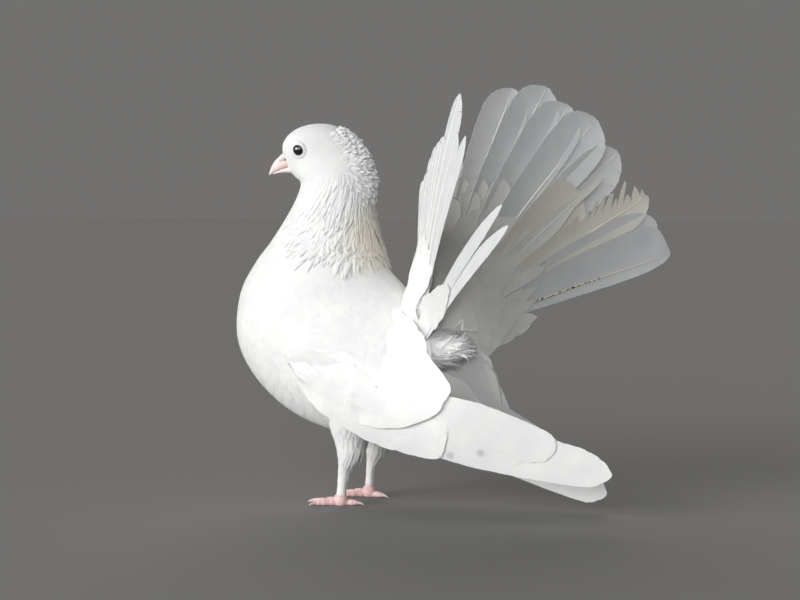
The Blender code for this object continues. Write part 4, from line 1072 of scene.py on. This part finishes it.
frontTiers = {"place": [0, 1], "length": [15, 27], "width": [7.5, 8.5], "tierGap": 0.24, "sideGap": 0.5,
              "rise": 0.012, "first": -0.38, "endGap": 4.2, "endTiers": 4}
sideTiers = {**frontTiers, "length": [11, 17], "width": [5.5, 6.5], "first": 0.0, "endGap": 3.0}


def frontSheet(a, b):
    # a runs up the front of the fan and b across it, from -1 to 1; a round bow joins the halves
    a, b = np.broadcast_arrays(a, b)
    side = np.sign(b)
    angle = np.abs(b) * np.where(b < 0, frontLook["spread"][-1], frontLook["spread"][1])
    sweep = tail["sweep"]
    bend = eased(angle / frontLook["round"])
    front = unit(np.stack([-math.cos(sweep) + 0 * b, side * math.sin(sweep) * bend, 0 * b], -1))
    ends = np.where(b < 0, np.interp(angle, *frontLook["ends"][-1]), np.interp(angle, *frontLook["ends"][1]))
    reach = frontLook["start"] + (ends - frontLook["start"]) * a
    lift = np.interp(a, *frontLook["forward"]) * (1 - 0.35 * eased(angle / 60)) + fanBow(reach) * bend
    root = np.stack([tail["root"][0] + 0 * b, side * tail["root"][1] * bend, tail["root"][2] + 0 * b], -1)
    turn = np.radians(angle)
    way = [math.sin(sweep) * np.sin(turn) * bend ** 0.5, side * math.cos(sweep) * np.sin(turn), np.cos(turn)]
    return root + np.stack(way, -1) * reach[..., None] + front * lift[..., None]


sideLook = {"start": 10.0, "angles": (33.0, 69.0),
            "ends": ([33, 40, 47, 53, 57, 62, 69], [42, 44, 47, 57, 71, 86, 68]),
            "forward": ([33, 41, 50, 60, 69], [5.6, 4.3, 3.1, 1.9, 1.2])}


def sideSheet(a, b):
    # short soft feathers over the roots of the near half: a runs up the fan and b down across it
    a, b = np.broadcast_arrays(a, b)
    angle = sideLook["angles"][0] + (sideLook["angles"][1] - sideLook["angles"][0]) * b
    reach = sideLook["start"] + (np.interp(angle, *sideLook["ends"]) - sideLook["start"]) * a
    lift = np.interp(angle, *sideLook["forward"]) + fanBow(reach)
    front = np.array([-math.cos(tail["sweep"]), -math.sin(tail["sweep"]), 0.0])
    root = np.array(tail["root"]) * [1, -1, 1]
    return root + fanDirection(angle, -1) * reach[..., None] + front * lift[..., None]


def rootSurface(a, b):
    # a runs up the root of the tail from 0 to 1, b runs round it from the rear
    a, b = np.broadcast_arrays(a, b)
    swell = np.sqrt(1 - (2 * np.clip(a, 0.001, 0.999) - 1) ** 2)
    low, high = tailRoot["height"]
    x = tailRoot["x"] + tailRoot["lean"] * a ** 2 + tailRoot["radii"][0] * swell * np.cos(b)
    return np.stack([x, tailRoot["radii"][1] * swell * np.sin(b), low + (high - low) * a], -1)


def rearCoverts(draw):
    # tiers of small broad feathers laid on the fan, the shortest tier uppermost
    parts, k = [], 0
    slots = 2 * len(rearLook["tiers"]) * rearLook["count"]
    for tier, (length, forward) in enumerate(rearLook["tiers"]):
        for side in (-1, 1):
            for j in range(rearLook["count"]):
                angle = rearLook["first"] + (j + 0.5 * (tier % 2)) * rearLook["step"]
                angle = angle + draw.uniform(-1.5, 1.5)
                if side < 0 and angle > rearLook["nearTo"]:
                    continue
                frameAt = fanFrame(angle, side, rearLook["step"], forward, draw.uniform(-1, 1), 0.3)
                reach = min(length * (1 - 0.02 * j), np.interp(angle, *rearLook["cap"]))
                reach = reach * draw.uniform(0.84, 1.08)
                tip, share = ("leaf", 0.75) if angle > rearLook["leafFrom"] else ("blunt", 1.0)
                wide = rearLook["half"] * share
                tint = draw.uniform(-0.4, 0.4)
                warm = rearLook["warm"] * draw.uniform(0.5, 1.0) * (side > 0)
                parts += bigFeather(frameAt, 4.0, reach, (wide, wide), tipShapes[tip], draw, k, slots, 5,
                                    tint=tint, bow=0.5, ragged=0.4, columns=5, warm=warm)
                k += 1
    return parts


def makeTailCoverts():
    # soft coverts run up from the back into the front of the fan, short ones lie on the near half's roots
    draw = np.random.RandomState(44)
    a, b = np.meshgrid(np.linspace(-0.45, 0.86, 50), np.linspace(-0.99, 0.99, 90), indexing="ij")
    outer = frontSheet(a, b) + [0.8, 0, 0]
    thick = 1.5 + 8 * (0.86 - a)
    base = slabPiece("tail_coverts_base", outer, outer + np.array([1.0, 0, 0]) * thick[..., None])
    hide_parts("tail_coverts")
    front = coverCoat(lambda u, v: frontSheet(u, 2 * v - 1), 1, frontTiers, 50.0, draw)
    coatObject("tail_coverts_front", [front], bodyPaint, "plumage")
    a, b = np.meshgrid(np.linspace(0, 0.8, 24), np.linspace(0.02, 0.98, 30), indexing="ij")
    outer = sideSheet(a, b) + [0.7, 0.5, 0]
    slabPiece("tail_side_base", outer, outer + [1.2, 0.8, 0])
    coatObject("tail_coverts_side", [coverCoat(sideSheet, -1, sideTiers, 42.0, draw)], tuftPaint, "plumage")
    rings = rootSurface(np.linspace(0.02, 0.98, 30)[:, None], fullTurn(36))
    tubePiece("tail_root", rings, downPaint, "plumage")


tuft = {"centre": (50.0, -4.0, 97.0), "radii": (19.0, 16.0, 11.5), "core": (0.74, 0.88, 0.88), "count": 2600,
        "length": (8.0, 14.0), "width": 2.6, "strands": 26}


def makeTuft():
    # rear coverts, then soft plumes that lie round the root of the tail and part at its lower side
    draw = np.random.RandomState(17)
    rear = coatObject("undertail_coverts", rearCoverts(draw), tuftPaint, "plumage")
    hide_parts("undertail")
    centre, radii = np.array(tuft["centre"]), np.array(tuft["radii"])
    n = tuft["count"]
    pole = np.arccos(draw.uniform(-0.98, 0.995, n))
    turn = draw.uniform(0, 2 * np.pi, n)
    outwards = np.stack([-np.cos(pole), np.sin(pole) * np.cos(turn), np.sin(pole) * np.sin(turn)], -1)
    root = centre + radii * outwards * 0.97
    normal = unit(outwards / radii)
    along = np.array([1.0, 0.0, 0.15]) + draw.uniform(-0.36, 0.36, (n, 3))
    way = unit(along - normal * dot(along, normal) * 0.8 + normal * draw.uniform(0.04, 0.24, n)[:, None])
    length = draw.uniform(*tuft["length"], n) * (0.75 + 0.35 * (outwards[:, 0] > 0.2))
    width = tuft["width"] * draw.uniform(0.7, 1.3, n)
    thin = slice(0, tuft["strands"])
    root[thin] = centre + radii * unit(outwards[thin] * [1, 1, 0.2] - [0, 0.4, 0.9])
    length[thin] *= 1.2
    width[thin] *= 0.3
    shafts = freeShafts(root, way, length, normal, 0.5, -draw.uniform(0.05, 0.28, n),
                        unit(np.cross(way, normal)) * draw.uniform(-0.2, 0.2, n)[:, None])
    rootMap = flatMap(turn / (2 * np.pi), pole / np.pi)
    part = coatPart(shafts, width / 2, lock["profile"], width * 0.05, 0.2, rootMap,
                    draw.uniform(-0.5, 0.5, n), 6)
    coatObject("undertail_tuft", [part], tuftPaint, "plumage")
    tubePiece("undertail_base", centre + radii * tuft["core"] * ballPoints(20, 28), downPaint, "plumage")


# Legs, feet and claws

legCoat = {"place": [0, 2, 3, 4, 5, 6.6], "length": [14, 13, 10, 8, 5.5, 4.0],
           "width": [5, 4.4, 3.6, 2.8, 2.0, 1.6], "tierGap": 0.27, "sideGap": 0.55}
footLook = {"toes": [(-34.0, 14.8), (0.0, 18.0), (34.0, 15.5), (192.0, 10.5)], "radius": (2.25, 1.55),
            "sole": 1.8, "scutes": 7, "claw": 5.0, "clawRadius": 1.15, "ankle": (4.6, 4.2, 5.0), "voxel": 0.4}
upwards = np.array([0.0, 0.0, 1.0])


def makeLegCoat(side, name):
    # feathers down to the ankle, with a shaggy fringe at the rear of the thigh
    draw = np.random.RandomState(80 + side)
    surface = legSurface(side)
    a, b = ringSites(surface, 0.1, 6.3 if side < 0 else 6.0, legCoat, draw)
    rear = np.clip(np.cos(b), 0, 1) ** 2
    keep = (side < 0) | (a < 4.4) | (rear < 0.25)
    a, b, rear = a[keep], b[keep], rear[keep]
    length = np.interp(a, legCoat["place"], legCoat["length"]) * draw.uniform(0.8, 1.2, len(a))
    width = np.interp(a, legCoat["place"], legCoat["width"]) * draw.uniform(0.85, 1.1, len(a))
    shaggy = rear * np.interp(a, [0, 1, 3, 5, 6], [0, 0.5, 1.0, 0.7, 0.3])
    shafts = layOn(surface, a, b, length, lock["steps"], 0.05 + shaggy * draw.uniform(0.05, 0.42, len(a)),
                   -0.08 * shaggy, 0.5, draw.uniform(-0.15, 0.15, len(a)), 1, 1)
    part = coatPart(shafts, width / 2, lock["profile"], width * 0.05, 0.2, roundMap(a, b, len(legRows) - 1.0),
                    draw.uniform(-0.4, 0.4, len(a)), 6)
    coatObject("leg_coat_" + name, [part], bodyPaint, "plumage")


def toeTube(start, way, length):
    # a toe that thins to its end, its upper half stepped by scutes, flattened on the floor
    s = np.linspace(0, 1, 60)[:, None]
    angle = fullTurn(20)
    radius = footLook["radius"][0] + (footLook["radius"][1] - footLook["radius"][0]) * s
    knuckles = 1 + 0.07 * np.cos(2 * np.pi * s * 3.0)
    steps = 0.12 * ((s * footLook["scutes"]) % 1.0) * np.clip(np.sin(angle), 0, 1)
    radius = radius * knuckles * (1 + steps) * np.sqrt(1 - np.clip((s - 0.86) / 0.14, 0, 1) ** 2 * 0.8)
    side = np.array([-way[1], way[0], 0.0])
    ring = side * np.cos(angle)[..., None] + upwards * np.sin(angle)[..., None]
    points = start + way * (s * length)[..., None] + radius[..., None] * ring
    points[..., 2] = np.maximum(points[..., 2], 0.0)
    return points


def clawTube(tip, way):
    # a claw that thins as it curves down to the floor
    s = np.linspace(0, 1, 16)
    line = tip + way * (s[:, None] * footLook["claw"] - 0.6) + upwards * (0.5 * s - 1.75 * s ** 2)[:, None]
    radius = footLook["clawRadius"] * (1 - s) ** 0.75 + 0.12
    a = fullTurn(12)[..., None]
    ring = np.array([-way[1], way[0], 0.0]) * np.cos(a) * 0.8 + upwards * np.sin(a)
    points = line[:, None] + ring * radius[:, None, None]
    points[..., 2] = np.maximum(points[..., 2], 0.05)
    return points


def makeFoot(side, name):
    # four scaled toes and the ankle melted into one form, with a claw at each toe
    x, y = footPlace[side]
    start = np.array([x, y, footLook["sole"]])
    tubes = []
    for toe, (angle, length) in enumerate(footLook["toes"]):
        turn = math.radians(angle)
        way = np.array([-math.cos(turn), math.sin(turn) * side, 0.0])
        tubes.append(toeTube(start, way, length))
        label = "%s_%d" % (name, toe + 1)
        claw = clawTube(start + way * length, way)
        tubePiece("claw_horn_" + label, claw, clawPaint, "claw", "claw_" + label)
    ankle = np.array([x, y, 3.0]) + np.array(footLook["ankle"]) * ballPoints(20, 24)
    ankle[..., 2] = np.maximum(ankle[..., 2], 0.0)
    z = np.linspace(3.0, 10.5, 20)[:, None]
    wide = 3.3 - 0.8 * eased((z - 4) / 5)
    angle = fullTurn(20)
    shank = np.broadcast_arrays(x + 0.08 * (z - 3) + wide * np.cos(angle), y - wide * np.sin(angle), z)
    tubes += [ankle, np.stack(shank, -1)[::-1]]
    meltedPiece("foot_skin_" + name, tubes, footPaint, "foot", footLook["voxel"], (0.4, 1), "foot_" + name)


# Bill, cere, eyes and lids

bill = {"base": (-43.0, 216.2), "gape": (-41.0, 207.6), "tip": (-56.6, 202.2), "chin": (-41.0, 202.4),
        "half": 3.7, "cere": (-47.6, 212.6), "lobe": (4.4, 2.3, 2.1), "lobeSide": 1.7,
        "slit": (1.5, 0.5, 0.28), "slitAt": (0.4, 3.7, -1.9), "tilt": math.radians(42.0)}


def curvePoints(start, end, bend, t):
    # a line from start to end, bowed sideways by bend
    start, end = np.array(start), np.array(end)
    along = end - start
    side = np.array([-along[1], along[0]]) / np.linalg.norm(along)
    return start + along * t[:, None] + side * (bend * 4 * t * (1 - t))[:, None]


def billForm(top, low, half):
    # sections between a top and a lower line, rounder above than below
    c, s = np.cos(fullTurn(36)), np.sin(fullTurn(36))
    c = np.sign(c) * np.abs(c) ** np.where(c > 0, 1.0, 0.7)
    middle, up = (top + low) / 2, (top - low) / 2
    return headPoint(middle[:, :1] + up[:, :1] * c, half[:, None] * s, middle[:, 1:] + up[:, 1:] * c)


def cereBall(rings, sides, radii, at, side):
    # a flattened ball at a place on the cere, given along its slope, sideways and upwards
    ball = np.array(radii) * ballPoints(rings, sides)
    c, s = math.cos(bill["tilt"]), math.sin(bill["tilt"])
    along, up = ball[..., 0] + at[0], ball[..., 2] + at[2]
    x, z = bill["cere"]
    return headPoint(x + (along * c - up * s), side * at[1] + ball[..., 1], z + (along * s + up * c))


def makeBill():
    t = np.linspace(0, 1, 40)
    thin = (1 - t ** 1.7 * 0.9) * np.sqrt(1 - np.clip((t - 0.93) / 0.07, 0, 1) ** 2 * 0.75)
    hook = np.stack([0 * t, -0.5 * (t > 0.8) * ((t - 0.8) / 0.2) ** 2], -1)
    tip = np.array(bill["tip"])
    top = curvePoints(bill["base"], tip, -3.1, t) + hook * 0.4
    mouth = curvePoints(bill["gape"], tip + [0.5, -0.1], -0.6, t) + hook
    tubePiece("bill_upper", billForm(top, mouth, bill["half"] * thin), billPaint, "bill", "upper_bill")
    mouth = curvePoints((bill["gape"][0], bill["gape"][1] - 0.35), tip + [2.2, 0.5], -0.6, t)
    low = curvePoints(bill["chin"], tip + [2.8, 0.0], -0.8, t)
    tubePiece("bill_lower", billForm(mouth, low, bill["half"] * 0.86 * thin), billPaint, "bill", "lower_bill")

    # two low swellings side by side at the root of the upper bill, each with a slit under it
    lobes = [cereBall(24, 28, bill["lobe"], (0.0, bill["lobeSide"], 0.0), side) for side in (-1, 1)]
    meltedPiece("cere_lobes", lobes, cerePaint, "cere", 0.16, (0.5, 4), "cere")
    for side in (-1, 1):
        slit = cereBall(16, 16, bill["slit"], bill["slitAt"], side)
        tubePiece("nostril_%d" % (side > 0), slit, nostrilPaint, "cere")


def makeEye(side, name):
    # a wet dark ball, and a ring of thin bare skin, flush with the head, that closes on it in fine wrinkles
    middle, out = onHead(*eyeLook["place"], side)
    ball = middle - out * (eyeLook["ball"] - eyeLook["proud"]) + eyeLook["ball"] * ballPoints(40, 48)
    tubePiece("eyeball_" + name, ball, eyePaint, "eye", "eye_" + name, 180)
    first = unit(np.cross(out, upwards))
    second = np.cross(out, first)
    tilt = math.radians(eyeLook["tilt"])
    c, s = math.cos(tilt), side * math.sin(tilt)
    first, second = first * c - second * s, second * c + first * s
    steps = np.linspace(0, len(eyeLook["radius"]) - 1, 34)
    radius, height = [splineRows(np.array(eyeLook[key])[:, None], steps) for key in ("radius", "height")]
    a = fullTurn(160)
    folds = 0.04 * np.sin(a * 31 + 1.5 * np.sin(a * 5)) + 0.03 * np.sin(a * 17 + radius * 5)
    weight = np.interp(radius, [3.1, 3.4, 4.6, 5.2], [0.2, 1.0, 0.8, 0.0])
    narrow, long = eyeLook["oval"]
    spoke = first * (np.cos(a) * narrow)[..., None] + second * (np.sin(a) * long)[..., None]
    lid = middle + spoke * radius[..., None] + out * (height + folds * weight)[..., None]
    tubePiece("lid_" + name, lid, lidPaint, "plumage", angle=180)


# Camera, light and floor

view = {"target": (20.14, 16.81, 124.39), "azimuth": 23.0, "elevation": 3.5, "distance": 1150.0,
        "mmPerPixel": 0.62, "pixels": 800, "sensor": 36.0}


def makeCamera():
    # stands at a distance along the view's direction, with the lens that gives the photograph's scale
    a, e = math.radians(view["azimuth"]), math.radians(view["elevation"])
    back = Vector((math.sin(a) * math.cos(e), -math.cos(a) * math.cos(e), math.sin(e)))
    data = bpy.data.cameras.new("camera")
    data.sensor_width = view["sensor"]
    data.lens = view["sensor"] * view["distance"] / view["mmPerPixel"] / view["pixels"]
    data.clip_start, data.clip_end = 0.05, 20.0
    camera = bpy.data.objects.new("camera", data)
    scene.collection.objects.link(camera)
    camera.location = (Vector(view["target"]) + Vector(home) + back * view["distance"]) * mm
    camera.rotation_euler = (-back).to_track_quat("-Z", "Y").to_euler()
    scene.camera = camera


warmLight, coolLight = (1.0, 0.99, 0.97), (0.97, 0.985, 1.0)
lights = {  # kind, the way from the bird to the light, settings
    "key": ("SUN", (-0.60, -0.90, 0.24), {"angle": math.radians(34), "energy": 2.5, "color": warmLight}),
    "fill": ("SUN", (0.10, -1.0, 0.30), {"angle": math.radians(50), "energy": 1.6, "color": coolLight}),
    "back": ("SUN", (-0.5, 1.0, 0.7), {"angle": math.radians(40), "energy": 1.1, "color": warmLight}),
    "low lamp": ("SPOT", (0.25, -0.62, 0.10), {
        "energy": 14.0, "spot_size": math.radians(6.0), "spot_blend": 1.0, "shadow_soft_size": 0.03})}
lampTarget = (50.0, -14.0, 97.0)


def makeLights():
    # broad distant lights, and a small soft lamp for the down under the tail, which the body shades
    for name, (kind, way, settings) in lights.items():
        data = bpy.data.lights.new(name, kind)
        for key, value in settings.items():
            setattr(data, key, value)
        lamp = bpy.data.objects.new(name, data)
        scene.collection.objects.link(lamp)
        lamp.location = (Vector(lampTarget) + Vector(home)) * mm + Vector(way)
        lamp.rotation_euler = (-Vector(way)).to_track_quat("-Z", "Y").to_euler()


def makeStage():
    points = np.array([[-1, -1, 0], [1, -1, 0], [1, 1, 0], [-1, 1, 0]]) * 9000.0
    paint = newMaterial("pale studio floor", {"Base Color": linear("#868584"), "Roughness": 0.9,
                                              "Specular IOR Level": 0.0})[0]
    floor = newObject("floor", points - home * [1, 1, 0], [np.array([[0, 1, 2, 3]])], paint=paint)
    world = bpy.data.worlds.new("studio")
    scene.world = world
    world.use_nodes = True
    world.node_tree.nodes["Background"].inputs["Color"].default_value = linear("#727170")
    scene.view_settings.view_transform = "Standard"


makeCamera()
makeStage()
makeLights()
makeSkin()
makeCoat()
makeNeck()
makeCrest()
makeBill()
for side, name in ((-1, "left"), (1, "right")):
    makeEye(side, name)
    makeWing(side, name)
    makeTail(side, name)
    makeLegCoat(side, name)
    makeFoot(side, name)
makeTailCoverts()
makeTuft()
